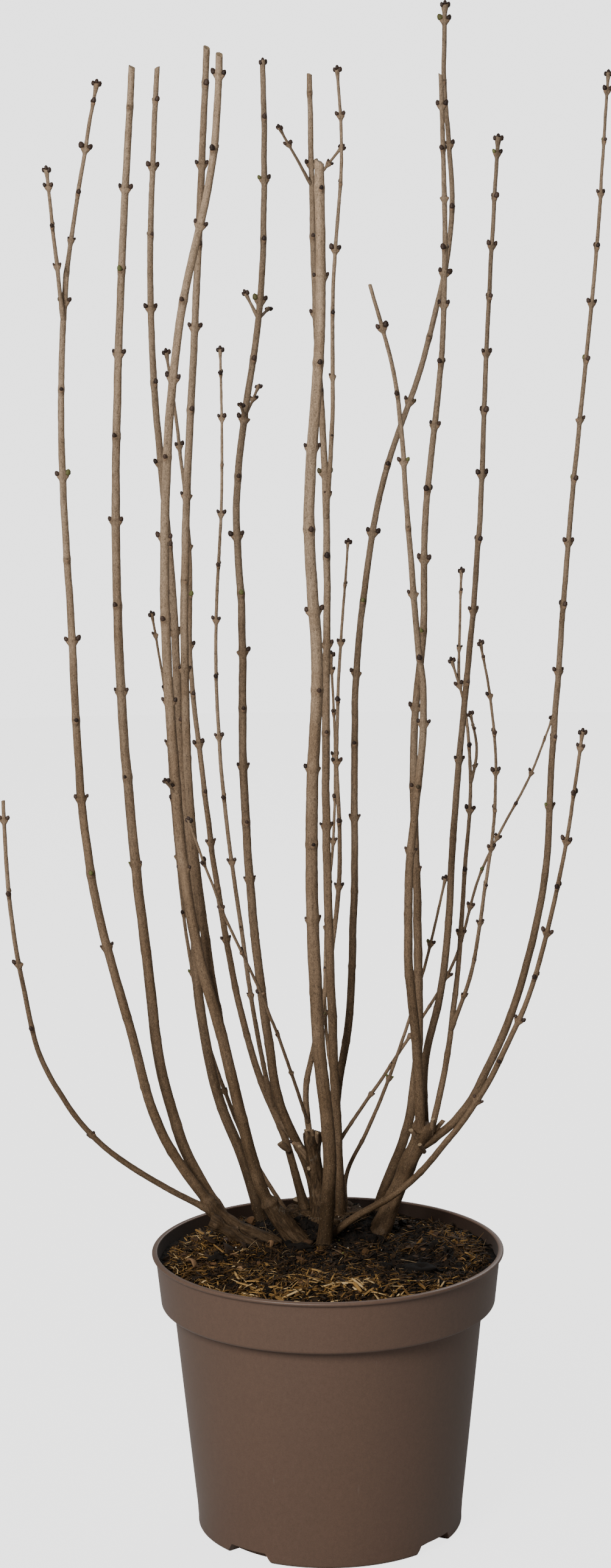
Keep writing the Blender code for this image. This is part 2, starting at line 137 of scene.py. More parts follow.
# What lies on the compost: how many of each, and where single ones lie, in millimetres
STRAW_FIBRES = 2000
STRAW_BLADES = 120
CLODS = 70
BARK_FLAKES = 130
SPECKS = 55
FINE_ROOTS = 380
LARGE_CLODS = ((74, -47), (-20, 2), (-88, -26))
LARGE_CLOD_SIZES = ((15, 11, 5), (11, 8, 4), (8, 6, 4))
BARK_CURLS = ((-94, 9), (-80, -12), (-69, 1), (-108, -30), (-46.6, 6.5), (-16, 14), (-61, 74))
BARK_CURL_SIZES = ((9, 6, 0.9), (8, 6, 0.9), (7, 4, 0.8), (6, 4, 1.2), (3, 2.4, 1.2), (6, 4, 1.2), (6, 4, 1))

# Stage, in metres and degrees
EYE = (0.0013, -2.834, 1.129)
EYE_PITCH = 10.5                # looking down
EYE_YAW = -0.31
EYE_ROLL = -0.57
KEY_PLACE = (-1.32, -2.58, 2.1)
KEY_SIZE = 1.3
BACK_PLACE = (1.0, 2.4, 2.2)
BACK_SIZE = 1.4
LIGHTS_AIM = (0.0, 0.0, 0.6)
FLOOR_RADIUS = 4.0
FLOOR_DROP = 0.0003             # the floor lies this far under the pot


# Numbers


def smooth_step(low, high, x):
    """0 below low, 1 above high, and 3t²-2t³ between them."""
    t = np.clip((x - low) / (high - low), 0.0, 1.0)
    return t * t * (3 - 2 * t)


def lattice_noise(points, seed):
    """Value noise from -1 to 1: a random height at every whole-number corner, blended by 3t²-2t³ between."""
    points = np.asarray(points, float)
    cell = np.floor(points).astype(np.int64)
    t = points - cell
    t = t * t * (3 - 2 * t)
    total = np.zeros(points.shape[:-1])
    for corner in range(8):
        step = np.array([(corner >> k) & 1 for k in range(3)])
        c = cell + step
        h = (c[..., 0] * 73856093) ^ (c[..., 1] * 19349663) ^ (c[..., 2] * 83492791) ^ (seed * 26544357)
        h = ((h ^ (h >> 13)) * 1274126177) & 0xFFFFFFFF
        height = ((h ^ (h >> 16)) & 0xFFFF) / 32767.5 - 1.0
        total += height * np.prod(np.where(step, t, 1 - t), axis=-1)
    return total


def smooth_through(known_at, known, wanted):
    """Cubic Hermite curve through known values, its slopes taken from the neighbours on both sides."""
    at = np.asarray(known_at, float)
    value = np.asarray(known, float)
    rise = np.diff(value) / np.diff(at)
    slope = np.full(len(at), rise[0])
    if len(at) > 2:
        step = np.diff(at)
        slope[1:-1] = (rise[:-1] * step[1:] + rise[1:] * step[:-1]) / (at[2:] - at[:-2])
        slope[0] = 1.5 * rise[0] - 0.5 * slope[1]
        slope[-1] = 1.5 * rise[-1] - 0.5 * slope[-2]
    left = np.clip(np.searchsorted(at, wanted, side="right") - 1, 0, len(at) - 2)
    span = at[left + 1] - at[left]
    t = (wanted - at[left]) / span
    return ((2 * t**3 - 3 * t**2 + 1) * value[left] + (t**3 - 2 * t**2 + t) * span * slope[left]
            + (3 * t**2 - 2 * t**3) * value[left + 1] + (t**3 - t**2) * span * slope[left + 1])


def unit(vectors):
    """Each vector divided by its length."""
    return vectors / np.linalg.norm(vectors, axis=-1, keepdims=True)


# Meshes


def write_mesh(name, points, faces, finish, marks=None, flat=False):
    """A mesh object from arrays: points in millimetres, faces as arrays of quads or triangles.

    marks are named values or vectors for every point, and flat shades the faces flat.
    """
    mesh = bpy.data.meshes.new(name)
    loops = np.concatenate([f.reshape(-1) for f in faces])
    totals = np.concatenate([np.full(len(f), f.shape[1]) for f in faces])
    mesh.vertices.add(len(points))
    mesh.vertices.foreach_set("co", (np.asarray(points, float) * MM).reshape(-1))
    mesh.loops.add(len(loops))
    mesh.loops.foreach_set("vertex_index", loops.astype(np.int32))
    mesh.polygons.add(len(totals))
    mesh.polygons.foreach_set("loop_start", np.concatenate([[0], np.cumsum(totals)[:-1]]).astype(np.int32))
    mesh.polygons.foreach_set("loop_total", totals.astype(np.int32))
    mesh.polygons.foreach_set("use_smooth", np.full(len(totals), not flat))
    for mark, values in (marks or {}).items():
        values = np.asarray(values, np.float32)
        vector = values.ndim == 2
        layer = mesh.attributes.new(mark, "FLOAT_VECTOR" if vector else "FLOAT", "POINT")
        layer.data.foreach_set("vector" if vector else "value", values.reshape(-1))
    mesh.update(calc_edges=True)
    piece = bpy.data.objects.new(name, mesh)
    bpy.context.scene.collection.objects.link(piece)
    mesh.materials.append(finish)
    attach(piece, "root")
    return piece


def tube_faces(rows, around):
    """Quads between neighbouring rings of a tube whose rings run anticlockwise seen from its far end."""
    i = np.arange(rows - 1)[:, None]
    j = np.arange(around)[None, :]
    k = (j + 1) % around
    corner = [i * around + j, i * around + k, (i + 1) * around + k, (i + 1) * around + j]
    return np.stack(np.broadcast_arrays(*corner), axis=-1).reshape(-1, 4)


def fan_faces(ring_start, around, centre, outward):
    """Triangles from one ring to a centre point, facing along the tube if outward, else back along it."""
    j = np.arange(around)
    k = (j + 1) % around
    ring = [ring_start + j, ring_start + k] if outward else [ring_start + k, ring_start + j]
    return np.stack([*ring, np.full(around, centre)], axis=-1)


def closed_tube(rings, far, near):
    """Points and faces of a tube of rings, closed by fans to a point past its last ring and one before
    its first."""
    rows, around = rings.shape[:2]
    count = rows * around
    points = np.concatenate([rings.reshape(-1, 3), [far], [near]])
    ends = np.concatenate([fan_faces(count - around, around, count, True),
                           fan_faces(0, around, count + 1, False)])
    return points, [tube_faces(rows, around), ends]


def strew(points, faces, places, frames, sizes):
    """Many copies of one small shape: each point is scaled, turned by its frame and moved to its place."""
    local = points[None, :, :] * sizes[:, None, :]
    world = np.einsum("nij,nkj->nki", frames, local) + places[:, None, :]
    step = (np.arange(len(places)) * len(points))[:, None, None]
    return world.reshape(-1, 3), [(f[None, :, :] + step).reshape(-1, f.shape[1]) for f in faces]


# Finishes


class Value:
    """A shader socket that takes part in Python expressions, each of which adds a Math node."""

    def __init__(self, finish, socket):
        self.finish = finish
        self.socket = socket

    def maths(self, operation, first, second=None):
        inputs = {0: first} if second is None else {0: first, 1: second}
        return self.finish.node("ShaderNodeMath", {"operation": operation}, inputs)

    def __add__(self, other):
        return self.maths("ADD", self, other)

    def __radd__(self, other):
        return self.maths("ADD", other, self)

    def __sub__(self, other):
        return self.maths("SUBTRACT", self, other)

    def __rsub__(self, other):
        return self.maths("SUBTRACT", other, self)

    def __mul__(self, other):
        return self.maths("MULTIPLY", self, other)

    def __rmul__(self, other):
        return self.maths("MULTIPLY", other, self)

    def step(self, low, high):
        """0 below low and 1 above high, or the other way round where low is the larger."""
        return self.finish.node("ShaderNodeMapRange", {"interpolation_type": "SMOOTHSTEP"},
                                {0: self, 1: low, 2: high, 3: 0.0, 4: 1.0})


class Finish:
    """A material, built from a Principled shader and the nodes that its expressions add."""

    def __init__(self, name):
        self.material = bpy.data.materials.new(name)
        self.material.use_nodes = True
        self.tree = self.material.node_tree
        self.shader = self.tree.nodes["Principled BSDF"]

    def node(self, kind, settings, inputs, output=0):
        """Make a node, set its settings, then give its sockets values or links; returns one output."""
        made = self.tree.nodes.new(kind)
        for key, value in settings.items():
            if key == "stops":
                ramp = made.color_ramp
                while len(ramp.elements) < len(value):
                    ramp.elements.new(0.5)
                for element, (place, colour) in zip(ramp.elements, value):
                    element.position = place
                    element.color = (*colour, 1.0)
            else:
                setattr(made, key, value)
        for key, value in inputs.items():
            self.give(made.inputs[key], value)
        return Value(self, made.outputs[output])

    def give(self, socket, value):
        """Put a value or a link into a socket."""
        if isinstance(value, Value):
            self.tree.links.new(value.socket, socket)
        elif hasattr(value, "__len__") and len(value) == 3 and socket.type == "RGBA":
            socket.default_value = (*value, 1.0)
        else:
            socket.default_value = value

    def mark(self, name, vector=False):
        """A value or vector that the mesh carries."""
        return self.node("ShaderNodeAttribute", {"attribute_name": name}, {}, 1 if vector else 2)

    def place(self):
        """The point on the object, in metres."""
        return self.node("ShaderNodeTexCoord", {}, {}, 3)

    def stretched(self, vector, scale):
        """The vector with each of its parts scaled."""
        return self.node("ShaderNodeVectorMath", {"operation": "MULTIPLY"}, {0: vector, 1: scale})

    def noise(self, vector, scale, detail=2.0, roughness=0.5, distortion=0.0):
        """Soft noise around 0.5."""
        return self.node("ShaderNodeTexNoise", {}, {"Vector": vector, "Scale": scale, "Detail": detail,
                                                   "Roughness": roughness, "Distortion": distortion})

    def cells(self, vector, scale):
        """Distance to the nearest random point."""
        return self.node("ShaderNodeTexVoronoi", {}, {"Vector": vector, "Scale": scale})

    def mix(self, amount, first, second):
        """From the first colour to the second."""
        return self.node("ShaderNodeMix", {"data_type": "RGBA"}, {0: amount, 6: first, 7: second}, 2)

    def tint(self, colour, amount):
        """A colour made lighter or darker by an amount around 1."""
        return self.node("ShaderNodeVectorMath", {"operation": "SCALE"}, {0: colour, 3: amount})

    def ramp(self, value, stops):
        """Colours along a ramp."""
        return self.node("ShaderNodeValToRGB", {"stops": stops}, {0: value})

    def bump(self, height, strength, distance):
        """A normal from heights."""
        inputs = {"Height": height, "Strength": strength, "Distance": distance}
        return self.node("ShaderNodeBump", {}, inputs)

    def set(self, **sockets):
        """Give the Principled shader its values; an underscore in a name stands for a space."""
        for key, value in sockets.items():
            self.give(self.shader.inputs[key.replace("_", " ")], value)
        return self.material


def weathered(f, wood, settings):
    """Old wood: dark cracks along the grain between fibrous ridges, with lichen in patches.

    Returns its colour and its height.
    """
    ridge = f.noise(f.stretched(wood, (1.0, 1.0, 0.22)), 420.0, 4.0, 0.65, 0.6)
    grain = f.noise(wood, 1300.0, 2.0, 0.6)
    patch = f.noise(wood, 60.0, 3.0, 0.6)
    lichen = patch.step(0.58, 0.7) * f.noise(wood, 700.0, 2.0).step(0.4, 0.6)
    colour = f.ramp(ridge, [(0.3, settings.deep), (0.48, settings.base), (0.68, settings.old)])
    colour = f.tint(colour, 0.3 + grain * 1.3)
    return f.mix(lichen * 0.5, colour, settings.lichen), ridge + grain * 0.4


def bark_finish(settings):
    """Bark: speckled tan on young wood, warm brown below, with pimples, pale scars, dark nodes and cuts."""
    f = Finish("lilac bark")
    old = f.mark("old")
    wood = f.mark("wood", vector=True)
    age = f.mark("age")
    scar = f.mark("scar")
    knot = f.mark("knot")
    cut = f.mark("cut")
    fibre = f.noise(f.stretched(wood, (1.0, 1.0, 0.3)), 800.0, 3.0, 0.65)
    speckle = f.noise(f.stretched(wood, (1.0, 1.0, 0.75)), 1250.0, 2.0, 0.7)
    stripe = f.noise(f.stretched(wood, (1.0, 1.0, 0.05)), 330.0, 2.0, 0.5)
    patch = f.noise(wood, 45.0, 3.0, 0.6)
    drift = f.noise(wood, 9.0, 2.0, 0.5)
    spot = f.stretched(wood, (1.0, 1.0, 0.7))
    pimple = f.cells(spot, 640.0).step(0.26, 0.10) * f.noise(spot, 300.0, 1.0).step(0.42, 0.6)
    pit = f.cells(f.stretched(wood, (1.0, 1.0, 0.6)), 380.0).step(0.20, 0.08)
    shade = age + (drift - 0.5) * 0.8 + (patch - 0.5) * 0.6
    # The base stop darkens the stems at the compost, partly as painted shade at their feet.
    colour = f.ramp(shade, [(0.0, settings.young), (0.3, settings.middle), (0.72, settings.old),
                            (1.0, settings.base)])
    # The tone mark scales each stem's bark lightness: partly its own colour, partly painted shade on stems
    # at the back.
    light = (0.98 + (speckle - 0.5) * 1.7 + (fibre - 0.5) * 1.3 + (stripe - 0.5) * 0.9) * f.mark("tone")
    colour = f.tint(colour, f.node("ShaderNodeClamp", {}, {0: light, 1: 0.25, 2: 2.0}))
    colour = f.mix(pimple * 0.5, colour, settings.wart)
    colour = f.mix(pit * 0.5, colour, settings.node)
    aged, cracks = weathered(f, wood, settings)
    colour = f.mix(old, colour, aged)
    colour = f.mix(knot * 0.75, colour, settings.node)
    colour = f.mix(scar * (0.5 + fibre * 0.7), colour, settings.scar)
    colour = f.mix(cut, colour, f.mix(fibre.step(0.35, 0.65), settings.cut_wood, settings.cut_edge))
    relief = fibre * 0.7 + speckle * 0.6 + pimple * 0.9 - pit * 0.6 + cracks * old * 2.0
    normal = f.bump(relief, settings.relief, 0.0005)
    return f.set(Base_Color=colour, Roughness=0.8 - pimple * 0.12 - speckle * 0.1, Normal=normal,
                 Specular_IOR_Level=0.22)


def bud_finish(settings):
    """Bud scales: dark brown with paler edges, a few of them greenish."""
    f = Finish("bud scales")
    place = f.place()
    length = f.mark("length")
    tint = f.mark("tint")
    fibre = f.noise(place, 1400.0, 2.0, 0.6)
    colour = f.ramp(tint, [(0.0, settings.dark), (0.7, settings.brown), (0.93, settings.brown),
                           (0.97, settings.green)])
    colour = f.tint(colour, 0.55 + fibre * 0.9)
    ring = f.node("ShaderNodeMath", {"operation": "PINGPONG"}, {0: length, 1: 0.16})
    colour = f.mix(ring.step(0.12, 0.16) * 0.35, colour, settings.brown)
    return f.set(Base_Color=colour, Roughness=0.55, Normal=f.bump(fibre, 0.3, 0.0002),
                 Specular_IOR_Level=0.35)


def old_wood_finish(settings):
    """The root crown: old wood all over."""
    f = Finish("old wood")
    wood = f.mark("wood", vector=True)
    colour, cracks = weathered(f, wood, settings)
    return f.set(Base_Color=colour, Roughness=0.86, Normal=f.bump(cracks, 0.7, 0.0008),
                 Specular_IOR_Level=0.2)


def pot_finish(settings):
    """Moulded plastic: a mauve brown with a fine grain, faint flow patches, rubbed marks and painted shade
    inside.
    """
    f = Finish("moulded plastic")
    place = f.place()
    flow = f.noise(f.stretched(place, (1.0, 1.0, 0.5)), 14.0, 3.0, 0.5)
    grain = f.noise(place, 1150.0, 2.0, 0.75)
    mottle = f.noise(f.stretched(place, (1.0, 1.0, 0.7)), 330.0, 3.0, 0.65)
    scuff = f.noise(f.stretched(place, (1.0, 1.0, 0.08)), 260.0, 2.0, 0.6).step(0.72, 0.8)
    colour = f.mix(flow.step(0.3, 0.7), settings.colour, settings.warm)
    # The inside mark darkens the pot's inner wall and floor to three tenths: painted shade.
    colour = f.tint(colour, (0.62 + grain * 0.5 + mottle * 0.26) * (1.0 - f.mark("inside") * 0.7))
    colour = f.mix(scuff * 0.12, colour, settings.rubbed)
    rough = settings.roughness + (grain - 0.5) * 0.14 + (flow - 0.5) * 0.08 - scuff * 0.06
    return f.set(Base_Color=colour, Roughness=rough, Normal=f.bump(grain, 0.16, 0.00012),
                 Specular_IOR_Level=0.5, Sheen_Weight=settings.sheen, Sheen_Roughness=0.45)


def compost_finish(settings):
    """Damp compost under the chips: nearly black with brown crumbs."""
    f = Finish("compost")
    place = f.place()
    lump = f.noise(place, 260.0, 4.0, 0.7)
    crumb = f.cells(place, 520.0)
    colour = f.ramp(lump, [(0.3, settings.black), (0.55, settings.brown), (0.75, settings.tan)])
    colour = f.tint(colour, 1.1 - crumb * 1.1)
    normal = f.bump(lump + crumb * 0.6, 0.9, 0.0015)
    return f.set(Base_Color=colour, Roughness=0.9, Normal=normal, Specular_IOR_Level=0.3)


def chip_finish(name, stops, roughness):
    """Chips and crumbs, each of one colour from a ramp, streaked along its length."""
    f = Finish(name)
    place = f.place()
    tint = f.mark("tint")
    streak = f.noise(place, 1100.0, 3.0, 0.6)
    colour = f.tint(f.ramp(tint, stops), 0.45 + streak * 1.1)
    return f.set(Base_Color=colour, Roughness=roughness, Normal=f.bump(streak, 0.5, 0.0003),
                 Specular_IOR_Level=0.3)


# Stems


class Course:
    """The line that a stem follows, measured along its length in millimetres.

    Sideways it passes through the stated places. Front to back it runs straight from foot to tip, with a
    belly that is deepest half way up, and a kick that takes a side limb clear of its parent.
    """

    def __init__(self, foot, tip, places, belly, kick):
        heights = [foot[2], *(h for h, x in places), tip[2]]
        across = [foot[0], *(x for h, x in places), tip[0]]
        h = np.linspace(foot[2], tip[2], PATH_STEPS)
        t = (h - foot[2]) / (tip[2] - foot[2])
        depth = foot[1] + (tip[1] - foot[1]) * t + belly * 4 * t * (1 - t)
        depth = depth + kick * (1 - np.exp(-(h - foot[2]) / 18.0)) * (1 - t)
        self.points = np.stack([smooth_through(heights, across, h), depth, h + SOIL], axis=1)
        steps = np.linalg.norm(np.diff(self.points, axis=0), axis=1)
        self.along = np.concatenate([[0.0], np.cumsum(steps)])
        self.length = float(self.along[-1])

    def at(self, s):
        """Points of the line; before its foot and past its tip it runs straight on."""
        inside = np.clip(s, 0.0, self.length)
        point = np.stack([np.interp(inside, self.along, self.points[:, i]) for i in range(3)], axis=-1)
        return point + self.direction(inside) * (s - inside)[..., None]

    def direction(self, s):
        """Direction of the line at each distance, from two points 3 mm apart."""
        near = np.clip(s, 1.5, self.length - 1.5)
        ends = [np.stack([np.interp(near + d, self.along, self.points[:, i]) for i in range(3)], axis=-1)
                for d in (1.5, -1.5)]
        return unit(ends[0] - ends[1])

    def axes(self, s):
        """At each distance: the line's direction, the direction sideways, and the one across both."""
        along = self.direction(s)
        side = np.array([1.0, 0.0, 0.0]) - along * along[..., :1]
        side = unit(side)
        return along, side, np.cross(along, side)

    def at_height(self, height):
        """The point of the line at a height over the compost, as (across, back, height)."""
        levels = self.points[:, 2] - SOIL
        return (*(float(np.interp(height, levels, self.points[:, i])) for i in (0, 1)), height)


def bud_pairs(start, end, buds):
    """Distances of the bud pairs along a stem, counted down from its tip."""
    first, gap, growth = buds
    places = []
    s = end - max(first, FIRST_PAIR)
    while s > start + FIRST_PAIR / 2:
        places.insert(0, s)
        s -= gap
        gap += growth
    return places


class Buds:
    """Collects the buds of a group of stems, to be made as one piece."""

    def __init__(self):
        self.places = []
        self.ups = []
        self.outs = []
        self.sizes = []
        self.tints = []

    def add(self, place, up, out, length, width, tint):
        """One bud: where its foot is, the way it points, the way its back faces, and its size."""
        self.places.append(place)
        self.ups.append(up)
        self.outs.append(out)
        self.sizes.append((width / 2, width / 2, length))
        self.tints.append(tint)

    def make(self, name, finish):
        """A bud is turned about its axis: an egg whose radius steps in at the edge of each pair of scales,
        slightly square because the pairs stand crosswise."""
        around = 8
        t = np.array([0.0, 0.16, 0.40, 0.45, 0.72, 0.92])
        swell = np.array([0.55, 0.93, 1.06, 0.97, 0.82, 0.40])
        angle = np.arange(around) * 2 * math.pi / around
        square = 1.0 + 0.05 * np.cos(4 * angle)
        rings = np.stack([swell[:, None] * square * np.cos(angle), swell[:, None] * square * np.sin(angle),
                          np.repeat(t[:, None], around, axis=1)], axis=-1)
        points, faces = closed_tube(rings, (0.0, 0.0, 1.0), (0.0, 0.0, 0.0))
        up = unit(np.array(self.ups))
        out = np.array(self.outs)
        out = unit(out - up * np.sum(out * up, axis=1, keepdims=True))
        frames = np.stack([np.cross(out, up), out, up], axis=-1)
        world, faces = strew(points, faces, np.array(self.places), frames, np.array(self.sizes))
        marks = {"length": np.tile(points[:, 2], len(self.places)),
                 "tint": np.repeat(self.tints, len(points))}
        piece = write_mesh(name, world, faces, finish, marks)


class Bush:
    """Grows the stems of one group, so that a side limb can find its parent."""

    def __init__(self, bark, bud):
        self.bark = bark
        self.bud = bud
        self.courses = {}
        self.girths = {}
        self.buds = Buds()

    def stem(self, name, foot, tip, girth, places=(), belly=0, kick=0, off=None, split=None,
             pruned=False, buds=BUDS, buds_from=0.3, flare=0.0, carries=False, heel=(1, 0.0), gnarl=0.0,
             solid=True, tone=(1.0, 1.0), knob=False):
        """Grow one limb as a tube whose radius is its taper, flare, heel, nodes and relief.

        foot and tip are (across, back, height), and girth the thickness at each. A side limb names its
        parent in off, and its foot is only a height: it springs from the middle of the parent's wood.
        heel is the length and share of the thick old wood at a foot, gnarl the size of its knobs, and tone
        how light its bark is at foot and tip, partly the bark's own colour and partly painted shade on stems
        that stand at the back. A knob is a pair of buds close under the cut. A limb that isn't solid is a
        short twig that has no node of its own.
        """
        rng = random.Random(name)
        if off:
            foot = self.courses[off].at_height(foot)
        course = Course(foot, tip, places, belly, kick)
        thick, thin = girth[0] / 2, girth[1] / 2
        collar = self.clear_start(course, thick, off) if off else 0.0
        start = 0.0 if off else -SUNK / max(0.35, float(course.direction(np.zeros(1))[0, 2]))
        end = course.length
        turn = math.radians(rng.uniform(-SIDEWAYS, SIDEWAYS))
        nodes = []
        for s in bud_pairs(collar + 6.0 if off else 8.0, end, buds):
            if carries or (split and abs(s - split) < 8):
                continue
            vigour = 0.0
            if s > buds_from * end:
                vigour = (0.5 + 0.5 * float(smooth_step(0.2, 0.6, s / end))) * rng.uniform(0.82, 1.12)
            nodes.append((s, turn, vigour))
            if vigour:
                turn += math.pi / 2
        tip_end = end if pruned or carries or not solid else end - 3.0

        def radius(s):
            """Radius of the smooth limb at a distance from its foot."""
            t = np.clip(s / end, 0.0, 1.0)
            r = thick + (thin - thick) * t + thick * flare * np.exp(-np.clip(s, 0, None) / FLARE_REACH)
            if heel[1]:
                r = r + thick * heel[1] * smooth_step(heel[0] * 1.2, heel[0] * 0.9, s)
                r = r + HEEL_RING * np.exp(-((s - heel[0]) / 1.8) ** 2)
                r = r - HEEL_GROOVE * np.exp(-((s - heel[0] - 5) / 2.0) ** 2)
            if off:
                r = r + FORK_SWELL * thick * np.exp(-np.clip(s - collar, 0, None) / FORK_REACH)
            if carries:
                r = r * (1 + (KNOB - 1) * smooth_step(end - 18, end - 3, s))
            if not (pruned or carries):
                r = r * (1 + TIP_SWELL * smooth_step(end - 12, end - 4, s))
            return r

        seed = rng.randrange(1000)
        around = 24 if girth[0] > 6.5 else 18 if girth[0] > 3.6 else 14
        angle = np.arange(around) * 2 * math.pi / around
        s = stem_rows(start, tip_end, nodes)
        old = smooth_step(heel[0] * 1.1, heel[0] * 0.85, s) * (heel[1] > 0)
        tube, scar, knot = bark_relief(s, angle, radius(s), nodes, seed, gnarl + 0.9 * old)
        along, side, back = course.axes(s)
        wander = np.stack([lattice_noise(np.stack([s / 23.0, s * 0 + seed, s * 0 + k], axis=-1), 7)
                           for k in (1.5, 4.5)], axis=-1) * WANDER * smooth_step(0, 25, s)[:, None]
        middle = course.at(s) + side * wander[:, :1] + back * wander[:, 1:]
        out = side[:, None] * np.cos(angle)[None, :, None] + back[:, None] * np.sin(angle)[None, :, None]
        rings = middle[:, None] + out * tube[:, :, None]
        caps = [(0.9, 0.9, 0.0), (0.6, 2.0, 0.0), (0.3, 2.4, 0.0)]
        if not carries:
            caps = [(0.93, 0.05, 0.2), (0.84, 0.0, 1.0), (0.3, -0.1, 1.0)]
            heading = rng.uniform(0, 2 * math.pi)
            lean = (PRUNED_SLANT if pruned else BLUNT_SLANT) * np.cos(angle - heading)
            ragged = np.stack([angle * 3, angle * 0, angle * 0 + seed], axis=-1)
            lean = lean + 0.12 * lattice_noise(ragged, 9)
            shift = lean[None, :] * tube * smooth_step(tip_end - 6, tip_end, s)[:, None]
            rings = rings + along[:, None] * shift[:, :, None]
        lids = [middle[-1] + (rings[-1] - middle[-1]) * share + along[-1] * lift
                for share, lift, cut in caps]
        points, faces = closed_tube(np.concatenate([rings, lids]), lids[-1].mean(axis=0), middle[0])

        height = middle[:, 2] - SOIL
        age = 0.8 * np.clip(1.0 - height / 620.0, 0.0, 1.0) ** 1.2 * np.clip(thick / 3.4, 0.6, 1.0)
        # Bark near the compost is pushed towards the base colour: partly old wood, partly painted shade at
        # the stems' feet.
        age = age + 0.3 * np.exp(-np.clip(height, 0.0, None) / 28.0)
        old = np.maximum(np.maximum(old * 0.8, gnarl > 1), 0.7 * np.exp(-np.clip(height, 0.0, None) / 9.0))
        rows = len(s) + len(caps)
        wood = np.stack([tube * np.cos(angle), tube * np.sin(angle), s[:, None] + 0 * tube], axis=-1)
        wood = (wood + np.array([seed * 7.0, seed * 3.0, seed * 11.0])) * MM
        wood = np.concatenate([wood, np.repeat(wood[-1:], len(caps), axis=0)]).reshape(-1, 3)
        cut = np.concatenate([np.zeros(len(s)), [c for share, lift, c in caps]])
        marks = {"wood": np.concatenate([wood, wood[-1:], wood[:1]]),
                 "age": ends_added(age[:, None] + 0 * tube, rows),
                 "old": ends_added(old[:, None] + 0 * tube, rows),
                 "tone": ends_added((tone[0] + (tone[1] - tone[0]) * s / end)[:, None] + 0 * tube, rows),
                 "scar": ends_added(scar, rows),
                 "knot": ends_added(knot, rows),
                 "cut": np.concatenate([np.repeat(cut, around), [cut[-1], 0.0]])}
        piece = write_mesh(name + "_bark", points, faces, self.bark, marks)
        if solid:
            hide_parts(*([name + "_lower", name + "_upper"] if split else [name]))
        for part in ("", "_lower", "_upper"):
            self.courses[name + part] = course
            self.girths[name + part] = (thick, thin)
        self.set_side_buds(course, nodes, radius, rng)
        if knob or (solid and not (pruned or carries)):
            self.set_tip_buds(course, tip_end, float(radius(tip_end)), rng)

    def clear_start(self, course, radius, parent):
        """How far along a side limb its wood comes clear of its parent's, by the distance of their lines."""
        line = self.courses[parent]
        thick, thin = self.girths[parent]
        s = np.arange(0.0, 60.0, 0.5)
        apart = np.linalg.norm(course.at(s)[:, None, :] - line.points[None, :, :], axis=-1)
        nearest = np.argmin(apart, axis=1)
        parent_radius = thick + (thin - thick) * line.along[nearest] / line.length
        clear = apart[np.arange(len(s)), nearest] > parent_radius + radius
        return float(s[np.argmax(clear)])

    def set_side_buds(self, course, nodes, radius, rng):
        """A pair of buds on the shoulders of each node, leaning out and a little way off the stem."""
        for place, turn, vigour in nodes:
            if not vigour:
                continue
            r = float(radius(place))
            small = min(1.0, 0.35 + 0.45 * r) * vigour
            at = np.array([place])
            along, side, back = (v[0] for v in course.axes(at))
            for flip in (0.0, math.pi):
                if rng.random() < BUD_MISSING:
                    continue
                out = side * math.cos(turn + flip) + back * math.sin(turn + flip)
                length = BUD_LENGTH * small * rng.uniform(0.86, 1.1)
                tilt = math.radians(rng.uniform(*BUD_TILT))
                up = along * math.cos(tilt) + out * math.sin(tilt)
                foot = course.at(at)[0] + out * (r + BUD_OFF_STEM * small) - along * 0.2
                self.buds.add(foot, up, out, length, length * rng.uniform(*BUD_WIDTH), rng.random())

    def set_tip_buds(self, course, end, r, rng):
        """Twin buds at the tip of a shoot that was never cut, and a smaller one between them."""
        at = np.array([end])
        along, side, back = (v[0] for v in course.axes(at))
        spin = rng.uniform(-0.6, 0.6)
        for turn, lean, size in ((0.0, 0.4, 0.95), (math.pi, 0.4, 0.85), (math.pi / 2, 0.05, 0.8)):
            out = side * math.cos(spin + turn) + back * math.sin(spin + turn)
            length = min(TIP_BUD_LENGTH + TIP_BUD_GROWTH * r, TIP_BUD_MOST) * size
            foot = course.at(at)[0] + (out * r * 0.75 - along * 1.8) * (lean > 0.1) - along * 0.6
            width = length * TIP_BUD_WIDTH
            self.buds.add(foot, along + out * lean, out, length, width, rng.random() * 0.6)


def stem_rows(start, end, nodes):
    """Distances of a tube's rings, which are closer together at the nodes and at the tip."""
    rows = [np.arange(start, end, RING_STEP), np.arange(end - 6.0, end, TIP_RING_STEP), [start, end]]
    rows += [np.arange(place - 6.5, place + 3.0, NODE_RING_STEP) for place, turn, vigour in nodes
             if place > start + 7]
    s = np.unique(np.round(np.concatenate(rows), 2))
    return s[(s >= start) & (s <= end)]


